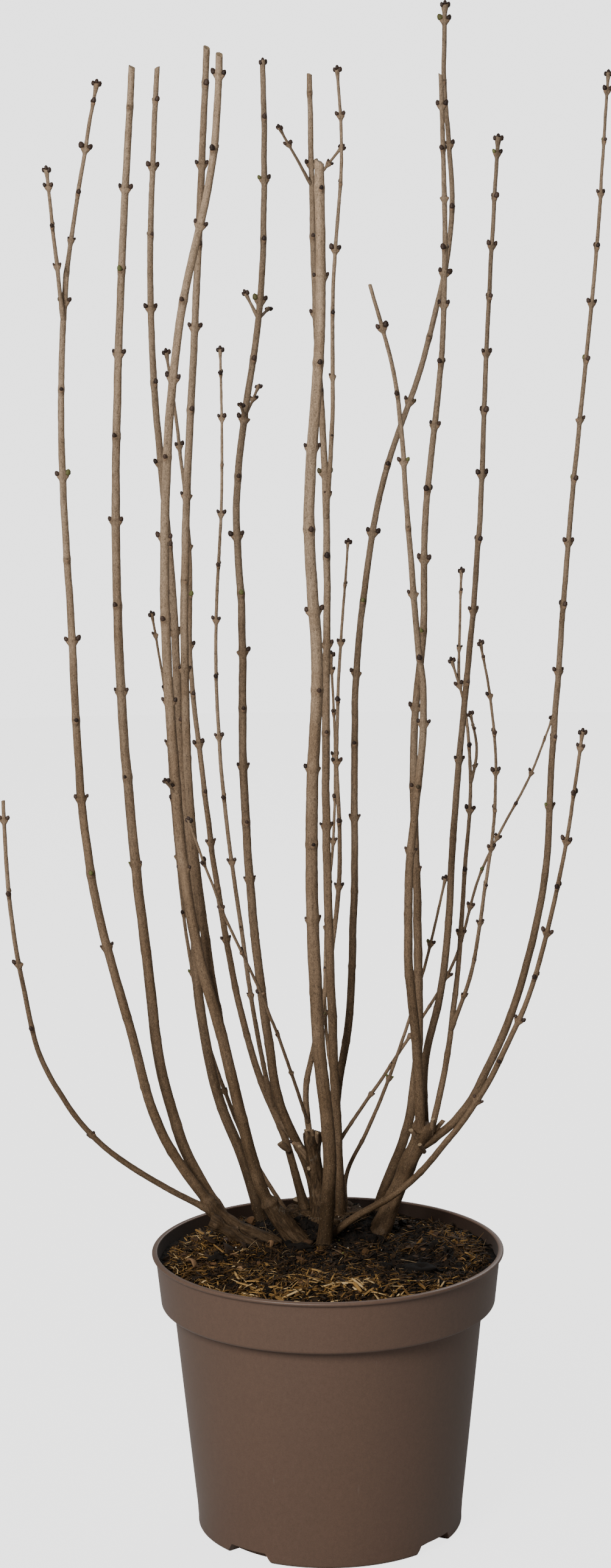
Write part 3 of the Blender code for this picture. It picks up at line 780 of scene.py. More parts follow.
def bark_relief(s, angle, radius, nodes, seed, gnarl):
    """Radius of every point of a stem, and how much it is leaf scar and how much dark node.

    Below each bud the stem swells towards it over 5 mm and ends in a narrow shoulder, as an angle bell round
    the bud's side times a ramp along the stem. Value noise adds the unevenness of the wood, and on gnarled
    wood its knobs.
    """
    at = np.array([n[0] for n in nodes] or [-999.0])
    turn = np.array([n[1] for n in nodes] or [0.0])
    vigour = np.array([n[2] for n in nodes] or [0.0])
    gap = s[:, None] - at[None, :]
    nearest = np.argmin(np.abs(gap), axis=1)
    gap = gap[np.arange(len(s)), nearest]
    strength = vigour[nearest] * np.clip(0.35 + 0.45 * radius, 0.5, 1.0)
    off_bud = (angle[None, :] - turn[nearest][:, None] + math.pi / 2) % math.pi - math.pi / 2
    bell = np.exp(-(off_bud / np.clip(1.7 / (radius + 0.9), 0.3, 0.85)[:, None]) ** 2)
    ramp = smooth_step(-5.5, -0.5, gap) ** 1.4 * (1 - smooth_step(-0.3, 0.7, gap))
    rise = strength * np.clip(SHOULDER - 0.13 * radius, 0.9, SHOULDER) + 0.2 * (at[0] > 0)
    swelling = radius * (0.04 + 0.09 * strength) * np.exp(-(gap / 3.0) ** 2)
    tube = (radius + swelling)[:, None] + (ramp * rise)[:, None] * bell
    place = np.stack(np.broadcast_arrays(np.cos(angle)[None, :], np.sin(angle)[None, :], s[:, None] / 14.0),
                     axis=-1)
    tube = tube * (1 + 0.035 * lattice_noise(place * (1.3, 1.3, 1.0) + seed, 3))
    close = place * np.stack([radius * 0.9, radius * 0.9, 0 * radius + 4.0], axis=-1)[:, None, :]
    tube = tube + BARK + 0.10 * lattice_noise(close + seed, 5)
    knobs = lattice_noise(place * (1.1, 1.1, 1.6) + seed, 11)
    ridges = 1 - 2 * np.abs(lattice_noise(place * (2.6, 2.6, 1.0) + seed, 12))
    tube = tube + gnarl[:, None] * (0.8 * knobs + 0.35 * ridges)
    scar = smooth_step(-2.4, -1.5, gap) * (1 - smooth_step(-0.2, 0.3, gap)) * np.minimum(1, 0.3 + strength)
    scar = scar[:, None] * smooth_step(0.3, 0.75, bell)
    knot = (np.exp(-((gap - 0.7) / 1.2) ** 2) * (0.25 + 0.75 * np.minimum(1, strength)))[:, None]
    return tube, scar, knot * (0.3 + 0.7 * bell)


def ends_added(values, rows):
    """A mark's values for a tube's rings, then the last ring's mean for the caps and the far end point, and
    the first ring's mean for the near one."""
    last = np.full((rows - len(values)) * values.shape[1] + 1, values[-1].mean())
    return np.concatenate([values.reshape(-1), last, [values[0].mean()]])


def grow_left(bush):
    """The stems on the left: two tall outer ones from a low bent base, and the front leader's group."""
    bush.stem("far_left_stem", (-48, 22, 0), (-188, -60, 774), (8.4, 4.2), split=205, belly=20,
              places=((19, -82), (42, -101), (87, -129), (180, -155), (270, -177), (520, -193), (700, -194)),
              flare=0.45, pruned=True, buds=(18, 68, -1), heel=(60, 0.4), tone=(1.0, 1.2))
    bush.stem("far_left_fork_left", 742, (-199, -88, 857), (3.2, 2.2), off="far_left_stem_upper",
              places=((800, -195),), kick=-7, buds=(16, 30, 0), buds_from=0)
    bush.stem("far_left_fork_right", 773, (-163, -40, 919), (3.4, 2.4), off="far_left_stem_upper",
              places=((830, -179),), buds=(18, 34, 0), buds_from=0)
    bush.stem("buried_root", (-55, 11, -3), (-93, 15, 21), (10.0, 7.0), solid=False, heel=(60, 0.05))
    bush.stem("low_left_bough", 24, (-239, -120, 390), (5.1, 2.7), off="far_left_stem_lower", split=190,
              belly=-20, places=((82, -166), (150, -211), (248, -232)), buds=(6, 61.5, -1), buds_from=0.2,
              pruned=True)
    bush.stem("left_tall_stem", 21, (-142, 60, 928), (9.0, 5.0), off="far_left_stem_lower", kick=18,
              belly=8, places=((70, -113), (114, -127), (233, -143), (437, -159)), pruned=True,
              buds=(30, 62, 1), tone=(1.0, 1.2))
    bush.stem("left_back_stem", (-53, 72, 0), (-126, 140, 928), (8.6, 4.0), flare=0.3,
              places=((55, -69), (100, -86), (182, -102), (281, -106), (355, -113), (502, -119),
                      (748, -134)),
              pruned=True, buds=(26, 51, 3), tone=(0.72, 1.15))
    bush.stem("left_back_shoot", (-30, 88, 0), (-138, 124, 499), (3.6, 1.7), belly=10,
              places=((41, -56), (95, -80), (161, -101), (226, -112), (361, -124), (433, -128)),
              buds=(20, 44, 1), buds_from=0.2)
    bush.stem("left_front_leader", (-24, 26, 0), (-71, -80, 936), (9.7, 5.0), flare=0.4, belly=8,
              places=((41, -51), (72, -60), (180, -84), (236, -98), (424, -117), (620, -117), (735, -105),
                      (869, -76)), pruned=True, buds=(14, 55, 1.5), heel=(40, 0.45), tone=(1.0, 1.25))
    bush.stem("left_front_branch", 184, (-84, 48, 942), (7.0, 4.9), off="left_front_leader", kick=10,
              belly=14, places=((348, -105), (487, -108), (787, -93)), pruned=True, buds=(28, 60, 1.5))
    bush.stem("left_front_twig", 372, (-123, -22, 388), (2.2, 1.8), off="left_front_leader")


def grow_inner_left(bush):
    """The cluster left of the middle, on the root crown."""
    bush.stem("inner_left_stem", (-19, 66, CROWN_TOP), (-122, 112, 710), (6.2, 2.2),
              belly=10,
              places=((40, -25), (72, -34), (117, -52), (266, -85), (365, -97), (460, -106), (540, -105),
                      (631, -112)), flare=0.5, buds=(38, 40, 0), tone=(1.05, 0.8))
    bush.stem("inner_left_shoot", 97, (-75, -30, 721), (3.9, 1.7), off="inner_left_stem",
              places=((167, -56), (256, -67), (383, -80), (510, -82), (599, -76)), buds=(22, 34, 2.5),
              buds_from=0.1)
    bush.stem("centre_left_stem", (-9, 63, CROWN_TOP), (-41, 20, 931), (7.8, 4.0),
              places=((37, -12), (107, -38), (173, -48), (369, -63), (511, -63), (583, -66), (766, -44)),
              flare=0.35, pruned=True, buds=(42, 46, 0), tone=(0.84, 0.8), knob=True)
    for number, tip in enumerate(((-58, 24, 760), (-38, 56, 744))):
        bush.stem(f"centre_left_twig_{number + 1}", 737, tip, (2.4, 1.8), off="centre_left_stem")
    for number, tip in enumerate(((-61, 12, 674), (-47, 70, 684))):
        bush.stem(f"centre_left_twig_{number + 3}", 661, tip, (2.4, 1.8), off="centre_left_stem")
    bush.stem("pruned_stump", (-6, 48, CROWN_TOP), (-12, 49, 83), (12.4, 11.4), flare=0.15,
              carries=True, gnarl=1.5)
    for number, (foot, tip) in enumerate((((-15, 44, 80), (-17, 42, 88)), ((-11, 43, 82), (-12, 41, 89)),
                                          ((-8, 43, 79), (-8, 40, 86)), ((-18, 47, 68), (-22, 46, 73)),
                                          ((-13, 46, 52), (-15, 41, 56)))):
        bush.stem(f"stump_spur_{number + 1}", foot, tip, (3.1, 2.7), pruned=True, solid=False)
    bush.stem("short_bough", (-13, 51, 58), (-37, 67, 88), (5.4, 4.4), solid=False)
    bush.stem("cut_stub", (-19, 84, 6), (-24, 79, 19), (9.0, 8.4), pruned=True, solid=False)
    bush.stem("inner_spur", (-34, 66, 66), (-38.5, 64, 71), (3.4, 3.0), solid=False)
    bush.stem("centre_back_shoot", (-14, 50, 83), (22, 152, 553), (5.0, 1.7), belly=16,
              places=((120, -16), (146, -10), (281, 12), (385, 11)), buds=(38, 47, 1), buds_from=0.15)
    bush.stem("crossing_shoot", 90, (-102, -110, 375), (2.7, 1.8), off="centre_back_shoot", belly=-18,
              places=((212, -47), (302, -80)), buds=(42, 44, 1), buds_from=0.15)


def grow_centre(bush):
    """The middle of the bush: the thick front stem, the stem behind it and what springs from that."""
    bush.stem("centre_front_stem", (-3, 12, 0), (1, -80, 858), (11.0, 7.0), flare=0.25,
              places=((66, 2), (179, -6), (373, -9), (474, -4), (578, -9), (753, 1)), pruned=True,
              buds=(20, 65, -0.5), tone=(0.95, 1.4))
    bush.stem("centre_back_stem", (11, 54, CROWN_TOP), (-6, 95, 922), (7.7, 3.9), flare=0.2,
              belly=4, places=((309, 2), (620, 3), (744, -3)), pruned=True, buds=(6, 54, 2.5),
              tone=(0.95, 1.05))
    bush.stem("centre_back_branch", 576, (15, 20, 928), (3.7, 2.1), off="centre_back_stem", kick=-10,
              places=((651, 9), (765, 11), (865, 18)), buds=(38, 52, -1), buds_from=0)
    bush.stem("centre_back_twig", 110, (7, 152, 461), (2.7, 1.9), off="centre_back_stem", kick=8, belly=18,
              places=((150, 1), (211, 0), (336, 9)), buds=(16, 35, 0), buds_from=0.15)
    for number, tip in enumerate(((-31, 62, 884), (21, 106, 868))):
        bush.stem(f"centre_top_twig_{number + 1}", 836, tip, (2.4, 1.8), off="centre_back_stem",
                  buds_from=0)
    bush.stem("tallest_stem", (4, 71, CROWN_TOP), (101, 140, 978), (6.7, 3.4), flare=0.1,
              belly=10,
              places=((115, 10), (160, 18), (249, 23), (498, 32), (602, 50), (703, 84), (803, 105),
                      (922, 100)), buds=(4, 48, 1), tone=(0.86, 0.8))
    bush.stem("long_diagonal_shoot", 72, (190, 180, 402), (2.9, 1.7), off="centre_back_stem", belly=60,
              places=((126, 55), (192, 104), (267, 130), (352, 173)), buds=(24, 31, 0), buds_from=0.1)
    bush.stem("short_diagonal_shoot", (15, 70, CROWN_TOP), (99, 112, 282), (3.4, 1.9),
              belly=8, places=((37, 15), (76, 34), (196, 78)), buds=(58, 58, -1), buds_from=0.2)


def grow_right(bush):
    """The right side: a leaning trunk with a pruned head, the limbs on it, and two stems beside it."""
    head = 93
    bush.stem("right_trunk", (41, 43, 0), (79, 35, head), (14.0, 13.0), flare=0.25, carries=True,
              gnarl=0.9)
    for number, (foot, tip) in enumerate((((72, 30, 84), (67, 25, 92)), ((84, 31, 90), (85, 25, 101)),
                                          ((87, 37, 88), (94, 35, 97)), ((76, 27, 76), (74, 20, 81)))):
        bush.stem(f"trunk_spur_{number + 1}", foot, tip, (3.8, 3.2), pruned=True, solid=False)
    bush.stem("right_leader", (75, 30, head), (38, -50, 766), (8.0, 2.6), belly=6,
              places=((160, 72), (232, 66), (292, 66), (460, 77), (487, 74), (583, 66), (701, 55)),
              pruned=True, buds=(34, 52, 0))
    bush.stem("right_long_branch", (79, 41, head), (140, 80, 875), (6.3, 2.8), belly=4,
              places=((139, 79), (199, 92), (345, 104), (566, 124), (721, 131)), buds=(4, 34, 3),
              tone=(0.86, 0.66))
    bush.stem("right_forked_branch", (85, 34, head), (102, 92, 464), (5.2, 1.8), belly=16,
              places=((125, 93), (183, 103), (292, 113), (365, 118), (424, 113)), buds=(24, 51, -0.5))
    bush.stem("right_forked_side", 166, (119, -60, 500), (3.4, 1.7), off="right_forked_branch", belly=-8,
              places=((214, 115), (280, 124), (341, 131), (435, 130)), buds=(2, 32, 0.5), buds_from=0.1)
    bush.stem("right_forked_tip", 442, (112, 118, 533), (2.2, 1.8), off="right_forked_branch", kick=4,
              buds_from=0)
    bush.stem("right_forked_spur", 362, (115, 36, 429), (2.4, 1.8), off="right_forked_branch",
              places=((389, 122),), buds_from=0)
    bush.stem("far_right_bough", 72, (222, 40, 923), (6.8, 2.0), off="right_trunk", split=235, belly=-10,
              places=((92, 99), (105, 110), (140, 129), (277, 171), (401, 180), (555, 191), (790, 213)),
              buds=(16, 38, 1.5), tone=(0.9, 0.82))
    bush.stem("right_back_stem", (38, 78, 0), (96, 102, 921), (8.0, 3.3), flare=0.2, belly=2,
              places=((20, 44), (69, 63), (135, 74), (221, 75), (434, 75), (478, 80), (561, 82), (719, 97)),
              pruned=True, buds=(24, 34, 3), tone=(0.95, 0.88))
    bush.stem("low_right_stem", (-1, 27, 0), (195, -95, 437), (5.9, 2.3), split=150, belly=-24,
              places=((20, 19), (43, 52), (96, 96), (146, 126), (178, 140), (217, 155), (286, 172)),
              buds=(12, 37, 0.5), buds_from=0.35)


def make_root_crown(finish):
    """The knotty head of old wood: an oval whose side bulges outward and whose top is a rough plateau.

    Seen from above its edge is an oval with five and three lobes; the height follows a quarter of a
    superellipse from the side to the top, and three sizes of noise roughen it into knobs and fibres.
    """
    around, rows = 150, 60
    angle = np.arange(around)[None, :] * 2 * math.pi / around
    t = np.linspace(0.0, 1.0, rows)[:, None]
    lobes = 1.0 + 0.05 * np.cos(5 * angle + 0.6) - 0.03 * np.cos(3 * angle)
    spread = 1 - smooth_step(0.35, 1.0, t) * 0.98
    rise = smooth_step(0.0, 0.6, t) ** 0.55
    across = (CROWN_FOOT_RADII[0] + (CROWN_TOP_RADII[0] - CROWN_FOOT_RADII[0]) * t) * spread * lobes
    depth = (CROWN_FOOT_RADII[1] + (CROWN_TOP_RADII[1] - CROWN_FOOT_RADII[1]) * t) * spread * lobes
    x = CROWN_CENTRE[0] + across * np.cos(angle)
    y = CROWN_CENTRE[1] + depth * np.sin(angle)
    z = SOIL - 3 + (CROWN_TOP + 1.0) * rise + 0 * angle
    points = np.stack([x, y, z], axis=-1)
    rough = 3.2 * lattice_noise(points / (9, 9, 14), 21) + 1.6 * lattice_noise(points / (4, 4, 7), 22)
    rough = rough + 0.7 * lattice_noise(points / (1.6, 1.6, 3), 23)
    out = unit(np.stack([np.cos(angle) + 0 * t, np.sin(angle) + 0 * t, 0.9 + 0 * (t + angle)], axis=-1))
    points = points + out * rough[..., None]
    points, faces = closed_tube(points, points[-1].mean(0), points[0].mean(0))
    piece = write_mesh("root_crown_wood", points, faces, finish, {"wood": points * MM})
    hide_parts("root_crown")


# Pot


def arc(centre, radius, start, end, count):
    """Points on an arc in the profile plane, angles in degrees from the outward radius."""
    a = np.radians(np.linspace(start, end, count))
    return [(centre[0] + radius * c, centre[1] + radius * k) for c, k in zip(np.cos(a), np.sin(a))]


def pot_profile():
    """The pot's section as (radius, height), from the middle of its inside floor round to its underside."""
    lip_round = LIP_THICKNESS / 2
    foot = POT_HEIGHT - BAND_HEIGHT
    inner_lip = BAND_TOP_RADIUS - LIP_WALL
    profile = [(0.0, FLOOR), (BODY_FOOT_RADIUS - WALL, FLOOR), (BODY_TOP_RADIUS - WALL, foot),
               (BAND_FOOT_RADIUS - WALL, foot + WALL_STEP), (inner_lip - 0.9, POT_HEIGHT - 9),
               (inner_lip, POT_HEIGHT - 0.9)]
    profile += arc((inner_lip + 0.9, POT_HEIGHT - 0.9), 0.9, 170, 95, 5)
    profile += arc((LIP_RADIUS - lip_round, POT_HEIGHT - lip_round), lip_round, 85, -90, 10)
    profile += arc((BAND_TOP_RADIUS + 1.0, POT_HEIGHT - LIP_THICKNESS - 1.0), 1.0, 90, 180, 4)
    profile += [(BAND_TOP_RADIUS + (BAND_FOOT_RADIUS - BAND_TOP_RADIUS) * k,
                 POT_HEIGHT - 6 + (foot + BAND_ROUNDING - POT_HEIGHT + 6) * k) for k in (0.1, 0.35, 0.7)]
    profile += arc((BAND_FOOT_RADIUS - BAND_ROUNDING, foot + BAND_ROUNDING), BAND_ROUNDING, 3, -85, 9)
    profile += arc((BODY_TOP_RADIUS + 0.6, foot + 0.2), 0.6, 92, 180, 4)
    for k in np.linspace(0.04, 0.96, 12):
        profile.append((BODY_TOP_RADIUS + (BODY_FOOT_RADIUS - BODY_TOP_RADIUS) * k,
                        foot + (NOTCH_HEIGHT + 3 - foot) * k))
    profile += [(BODY_FOOT_RADIUS + 0.15, NOTCH_HEIGHT + 1.0), (BODY_FOOT_RADIUS, NOTCH_HEIGHT - 0.2)]
    profile += arc((BODY_FOOT_RADIUS - FOOT_ROUNDING, FOOT_ROUNDING), FOOT_ROUNDING, 0, -90, 6)
    inner = BODY_FOOT_RADIUS - NOTCH_DEPTH
    profile += [(inner + 0.3, 0.0), (inner, 0.0), (60.0, 0.0), (0.0, 0.0)]
    return np.array(profile)


def make_pot(finish):
    """The pot, turned from its section; inside a notch every foot point is lifted to the notch's roof.

    A notch's roof is flat and its two sides slant: its height over the angle is a trapezoid.
    """
    profile = pot_profile()
    half_low = math.degrees((NOTCH_WIDTH / 2 + NOTCH_SLANT / 2) / BODY_FOOT_RADIUS)
    half_top = math.degrees((NOTCH_WIDTH / 2 - NOTCH_SLANT / 2) / BODY_FOOT_RADIUS)
    marks = [a + sign * half for a in NOTCH_ANGLES for sign in (-1, 1)
             for half in (half_low, half_low - 0.4, (half_low + half_top) / 2, half_top + 0.4, half_top)]
    degrees = np.unique(np.round(np.concatenate([np.arange(0, 360, 1.5), np.array(marks) % 360]), 3))
    turn = np.radians(degrees)
    off = np.min(np.abs((degrees[:, None] - np.array(NOTCH_ANGLES)[None, :] + 180) % 360 - 180), axis=1)
    roof = NOTCH_HEIGHT * np.clip((half_low - off) / (half_low - half_top), 0.0, 1.0)
    radius = np.repeat(profile[1:-1, :1], len(turn), axis=1)
    height = np.repeat(profile[1:-1, 1:], len(turn), axis=1)
    foot = (profile[1:-1, 0] > BODY_FOOT_RADIUS - NOTCH_DEPTH + 0.1) & (profile[1:-1, 1] < NOTCH_HEIGHT)
    height = np.where(foot[:, None], np.maximum(height, roof[None, :]), height)
    points = np.stack([radius * np.sin(turn), -radius * np.cos(turn), height], axis=-1)
    rows, around = radius.shape
    # The inner floor and wall carry the inside mark, which the finish darkens as painted shade.
    inside = np.repeat(np.arange(rows) < 5, around)
    points, faces = closed_tube(points, (0, 0, 0), (0, 0, FLOOR))
    piece = write_mesh("pot_moulding", points, [f[:, ::-1] for f in faces], finish,
                       {"inside": np.concatenate([inside, [0.0, 1.0]])})
    piece.data.set_sharp_from_angle(angle=math.radians(38))
    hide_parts("pot")


# Compost


def bell(x, y, middle, radius):
    """1 in the middle, falling off as a Gauss bell that is down to 0.37 at the radius."""
    return np.exp(-((x - middle[0]) ** 2 + (y - middle[1]) ** 2) / radius**2)


def compost_level(x, y):
    """Height of the compost in millimetres: flat, lower at the wall, with lumps, heaped up round the root
    crown and a little on the left, and with a hollow at the front right and one behind the trunk."""
    r = np.hypot(x, y)
    level = SOIL - SOIL_EDGE_DROP * smooth_step(SOIL_FLAT_RADIUS - 12, 133, r)
    spot = np.stack([x, y, 0 * x], axis=-1)
    lumps = 2.2 * lattice_noise(spot / 19.0 + 40, 31) + 1.3 * lattice_noise(spot / 7.0 + 40, 32)
    level = level + lumps * (0.4 + 0.6 * smooth_step(133, 118, r))
    level = level - HOLLOW_DEPTH * hollow(x, y)
    level = level - BACK_DIP_DEPTH * bell(x, y, BACK_DIP, BACK_DIP_RADIUS)
    level = level + LEFT_RISE_HEIGHT * bell(x, y, LEFT_RISE, LEFT_RISE_RADIUS)
    return level + CROWN_HEAP * smooth_step(1.75, 0.85, crown_distance(x, y))


def make_compost_surface(finish):
    """A disc in rings, lifted to the compost's level, with a short skirt down the inside of the pot."""
    around, rows = 240, 74
    edge = BAND_TOP_RADIUS - LIP_WALL - 1.3
    angle = np.arange(around) * 2 * math.pi / around
    radius = np.concatenate([[edge, edge], np.linspace(edge, 2.0, rows)])
    x = radius[:, None] * np.cos(angle)
    y = radius[:, None] * np.sin(angle)
    z = compost_level(x, y)
    spot = np.stack([x, y, z], axis=-1)
    z = z + 1.0 * lattice_noise(spot / 2.6 + 9, 33)
    z[0] = SOIL - SKIRT
    z[1] = z[2] - 2
    points = np.stack([x, y, z], axis=-1)
    points[0, :, :2] *= (BAND_FOOT_RADIUS - WALL - 1.5) / edge
    points, faces = closed_tube(points, (0, 0, float(z[-1].mean())), (0, 0, SOIL - SKIRT))
    piece = write_mesh("compost_surface", points, faces, finish)
    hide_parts("compost")


def lie_down(rng, count, spread, lean):
    """Frames of things that lie about: a random heading and a small random pitch and roll."""
    heading = rng.uniform(0, 2 * math.pi, count)
    pitch = rng.normal(0, lean, count)
    roll = rng.uniform(-spread, spread, count)
    x = np.stack([np.cos(heading) * np.cos(pitch), np.sin(heading) * np.cos(pitch), np.sin(pitch)], axis=-1)
    up = np.array([0.0, 0.0, 1.0]) - x * x[:, 2:]
    up = unit(up)
    y = np.cross(up, x)
    y, up = (y * np.cos(roll)[:, None] + up * np.sin(roll)[:, None],
             up * np.cos(roll)[:, None] - y * np.sin(roll)[:, None])
    return np.stack([x, y, up], axis=-1)


def sliver(segments, sides, bend, taper):
    """A strip along X from -1 to 1, bent upwards in the middle and drawn in at its ends."""
    u = np.linspace(-1, 1, segments + 1)
    angle = np.arange(sides) * 2 * math.pi / sides + math.pi / sides
    wide = (1 - taper * np.abs(u) ** 2.5)[:, None]
    x = np.repeat(u[:, None], sides, axis=1)
    y = wide * np.cos(angle)
    z = wide * np.sin(angle) + bend * (1 - u**2)[:, None]
    return closed_tube(np.stack([x, y, z], axis=-1), (1, 0, 0), (-1, 0, 0))


def lump(rows, around, seed, rough):
    """A ball in rings whose radius is roughened by noise."""
    v = np.linspace(0, math.pi, rows + 1)[1:-1]
    angle = np.arange(around) * 2 * math.pi / around
    x = np.sin(v)[:, None] * np.cos(angle)
    y = np.sin(v)[:, None] * np.sin(angle)
    z = -np.cos(v)[:, None] + 0 * angle
    rings = np.stack([x, y, z], axis=-1)
    rings = rings * (1 + rough * lattice_noise(rings * 1.7 + seed, seed))[..., None]
    return closed_tube(rings, (0, 0, 0.9), (0, 0, -0.9))


def strewn_places(rng, count, chance, radius=127.0):
    """Random places on the compost, kept with the chance that the given function of (x, y) states."""
    found = np.zeros((0, 2))
    while len(found) < count:
        p = rng.uniform(-radius, radius, (4 * count + 50, 2))
        keep = np.hypot(p[:, 0], p[:, 1]) < radius
        keep = keep & (rng.uniform(0, 1, len(p)) < chance(p[:, 0], p[:, 1]))
        found = np.concatenate([found, p[keep]])
    return found[:count]


def crown_distance(x, y):
    """1 on the foot of the root crown, growing outwards."""
    return np.hypot((x - CROWN_CENTRE[0]) / CROWN_FOOT_RADII[0], (y - CROWN_CENTRE[1]) / CROWN_FOOT_RADII[1])


def hollow(x, y):
    """1 in the middle of the dark hollow at the front right, falling off round it."""
    return bell(x, y, HOLLOW, HOLLOW_RADIUS)


def straw_chance(x, y):
    """Straw lies thick in drifts along the front and the left, thinly elsewhere, and not among the stems."""
    drift = lattice_noise(np.stack([x / 11.0 + 30, y / 11.0 + 30, 0 * x], axis=-1), 41)
    front = 0.85 * smooth_step(-25, -75, y)
    left = smooth_step(-35, -90, x)
    right = 0.55 * smooth_step(75, 110, x)
    amount = np.maximum(np.maximum(front, left), right) * (0.35 + 0.65 * smooth_step(-0.35, 0.3, drift))
    amount = 0.22 + 0.78 * amount
    amount = amount * smooth_step(1.1, 2.2, crown_distance(x, y)) * (1 - 0.95 * hollow(x, y))
    return np.clip(amount, 0.0, 1.0)


def clod_chance(x, y):
    """Dark clods lie round the root crown and in the hollow at the front right."""
    ring = np.exp(-((crown_distance(x, y) - 1.35) / 0.45) ** 2)
    return np.clip(hollow(x, y) + ring + 0.12, 0.0, 1.0)


def anywhere(x, y):
    """Even over the whole compost."""
    return 1.0 + 0.0 * x


def litter(name, shape, places, frames, sizes, tints, finish, lift, flat=False):
    """Copies of one shape on the compost, as one piece; lift is how far each one's middle is over it."""
    points, faces = shape
    z = compost_level(places[:, 0], places[:, 1]) + lift
    at = np.stack([places[:, 0], places[:, 1], z], axis=-1)
    world, faces = strew(points, faces, at, frames, sizes)
    piece = write_mesh(name, world, faces, finish, {"tint": np.repeat(tints, len(points))}, flat)


# Settings and operators


def colour_property(name, description, default):
    """A colour for the sidebar."""
    return FloatVectorProperty(name=name, description=description, default=default, size=3,
                               subtype="COLOR", min=0.0, max=1.0)


class BarkSettings(PropertyGroup):
    """Colours and relief of the wood."""

    young: colour_property("Young bark", "Grey-tan bark near the tips", (0.338, 0.243, 0.162))
    middle: colour_property("Middle bark", "Bark half way down", (0.236, 0.159, 0.099))
    old: colour_property("Old bark", "Warm brown bark of the lower stems", (0.150, 0.095, 0.053))
    # The stem bases' colour is partly old bark and partly painted shade at the stems' feet.
    base: colour_property("Stem bases", "Dark damp bark at the compost", (0.060, 0.035, 0.016))
    deep: colour_property("Fissures", "Bottom of the cracks in old wood", (0.012, 0.007, 0.004))
    wart: colour_property("Warts", "The small pale warts of the bark", (0.42, 0.30, 0.18))
    node: colour_property("Nodes", "Dark wood round a pair of buds", (0.045, 0.025, 0.014))
    scar: colour_property("Leaf scars", "Pale scar under each bud", (0.31, 0.195, 0.12))
    lichen: colour_property("Lichen", "Grey patches on old wood", (0.21, 0.19, 0.155))
    cut_wood: colour_property("Cut wood", "Wood laid bare by pruning", (0.42, 0.31, 0.19))
    cut_edge: colour_property("Weathered cut", "Cut wood that has weathered", (0.2, 0.14, 0.085))
    relief: FloatProperty(name="Relief", description="Strength of the fine relief", default=0.55, min=0.0,
                          max=1.0, subtype="FACTOR")


class BudSettings(PropertyGroup):
    """Colours of the winter buds."""

    dark: colour_property("Dark scales", "Most bud scales", (0.027, 0.016, 0.012))
    brown: colour_property("Brown scales", "The warmer bud scales", (0.072, 0.042, 0.029))
    green: colour_property("Green scales", "The few buds that show green", (0.16, 0.17, 0.05))


class PotSettings(PropertyGroup):
    """Colours and gloss of the pot."""

    colour: colour_property("Plastic", "Colour of the moulded plastic", (0.150, 0.0925, 0.0655))
    warm: colour_property("Warm patches", "Faint warmer patches from the moulding", (0.158, 0.0955, 0.067))
    rubbed: colour_property("Rubbed marks", "Pale marks where the pot was rubbed", (0.33, 0.29, 0.26))
    roughness: FloatProperty(name="Roughness", description="How matt the plastic is", default=0.42,
                             min=0.05, max=1.0, subtype="FACTOR")
    sheen: FloatProperty(name="Sheen", description="Grey bloom at the pot's edges", default=0.1, min=0.0,
                         max=1.0, subtype="FACTOR")


class CompostSettings(PropertyGroup):
    """Colours and amounts of what lies on the compost."""

    black: colour_property("Damp compost", "The darkest compost", (0.003, 0.0019, 0.0012))
    brown: colour_property("Brown compost", "Brown crumbs", (0.016, 0.0085, 0.0038))
    tan: colour_property("Tan compost", "Light crumbs", (0.06, 0.031, 0.011))
    straw: colour_property("Straw", "Pale straw chips", (0.43, 0.245, 0.07))
    chips: IntProperty(name="Straw chips", description="How many straw chips lie on the compost",
                       default=4300, min=0, max=6000)
    chip_length: FloatProperty(name="Chip length", description="Length of a straw chip", default=0.008,
                               min=0.002, max=0.03, unit="LENGTH", precision=4)
    crumbs: IntProperty(name="Crumbs", description="How many dark crumbs lie on the compost", default=3600,
                        min=0, max=4000)


class StageSettings(PropertyGroup):
    """Camera and light."""

    lens: FloatProperty(name="Lens", description="Focal length in millimetres", default=85.0, min=20.0,
                        max=200.0)
    key: FloatProperty(name="Key light", description="Power of the large light at the front left",
                       default=92.0, min=0.0, max=500.0, unit="POWER")
    back: FloatProperty(name="Back light", description="Power of the light behind the bush",
                        default=26.0, min=0.0, max=500.0, unit="POWER")
    sky: FloatProperty(name="Room light", description="Brightness of the light from all round",
                       default=0.19, min=0.0, max=2.0)
    white: FloatProperty(name="Backdrop", description="Brightness of the backdrop as the camera sees it",
                         default=2.6, min=0.0, max=20.0)


def bush_of(context):
    """A bush with its finishes, made once and then shared by the groups of stems."""
    scene = context.scene
    made = [bpy.data.materials.get(name) for name in ("lilac bark", "bud scales")]
    if None in made:
        made = [bark_finish(scene.lilac_bark), bud_finish(scene.lilac_buds)]
    return Bush(*made)


class LILAC_OT_left_stems(Operator):
    """Grow the stems on the left, with their buds"""

    bl_idname = "lilac.left_stems"
    bl_label = "Left stems"

    def execute(self, context):
        bush = bush_of(context)
        grow_left(bush)
        bush.buds.make("left_buds", bush.bud)
        return {"FINISHED"}


class LILAC_OT_middle_stems(Operator):
    """Grow the root crown and the stems in the middle, with their buds"""

    bl_idname = "lilac.middle_stems"
    bl_label = "Middle stems"

    def execute(self, context):
        bush = bush_of(context)
        make_root_crown(old_wood_finish(context.scene.lilac_bark))
        grow_inner_left(bush)
        grow_centre(bush)
        bush.buds.make("middle_buds", bush.bud)
        return {"FINISHED"}


class LILAC_OT_right_stems(Operator):
    """Grow the stems on the right, with their buds"""

    bl_idname = "lilac.right_stems"
    bl_label = "Right stems"

    def execute(self, context):
        bush = bush_of(context)
        grow_right(bush)
        bush.buds.make("right_buds", bush.bud)
        return {"FINISHED"}


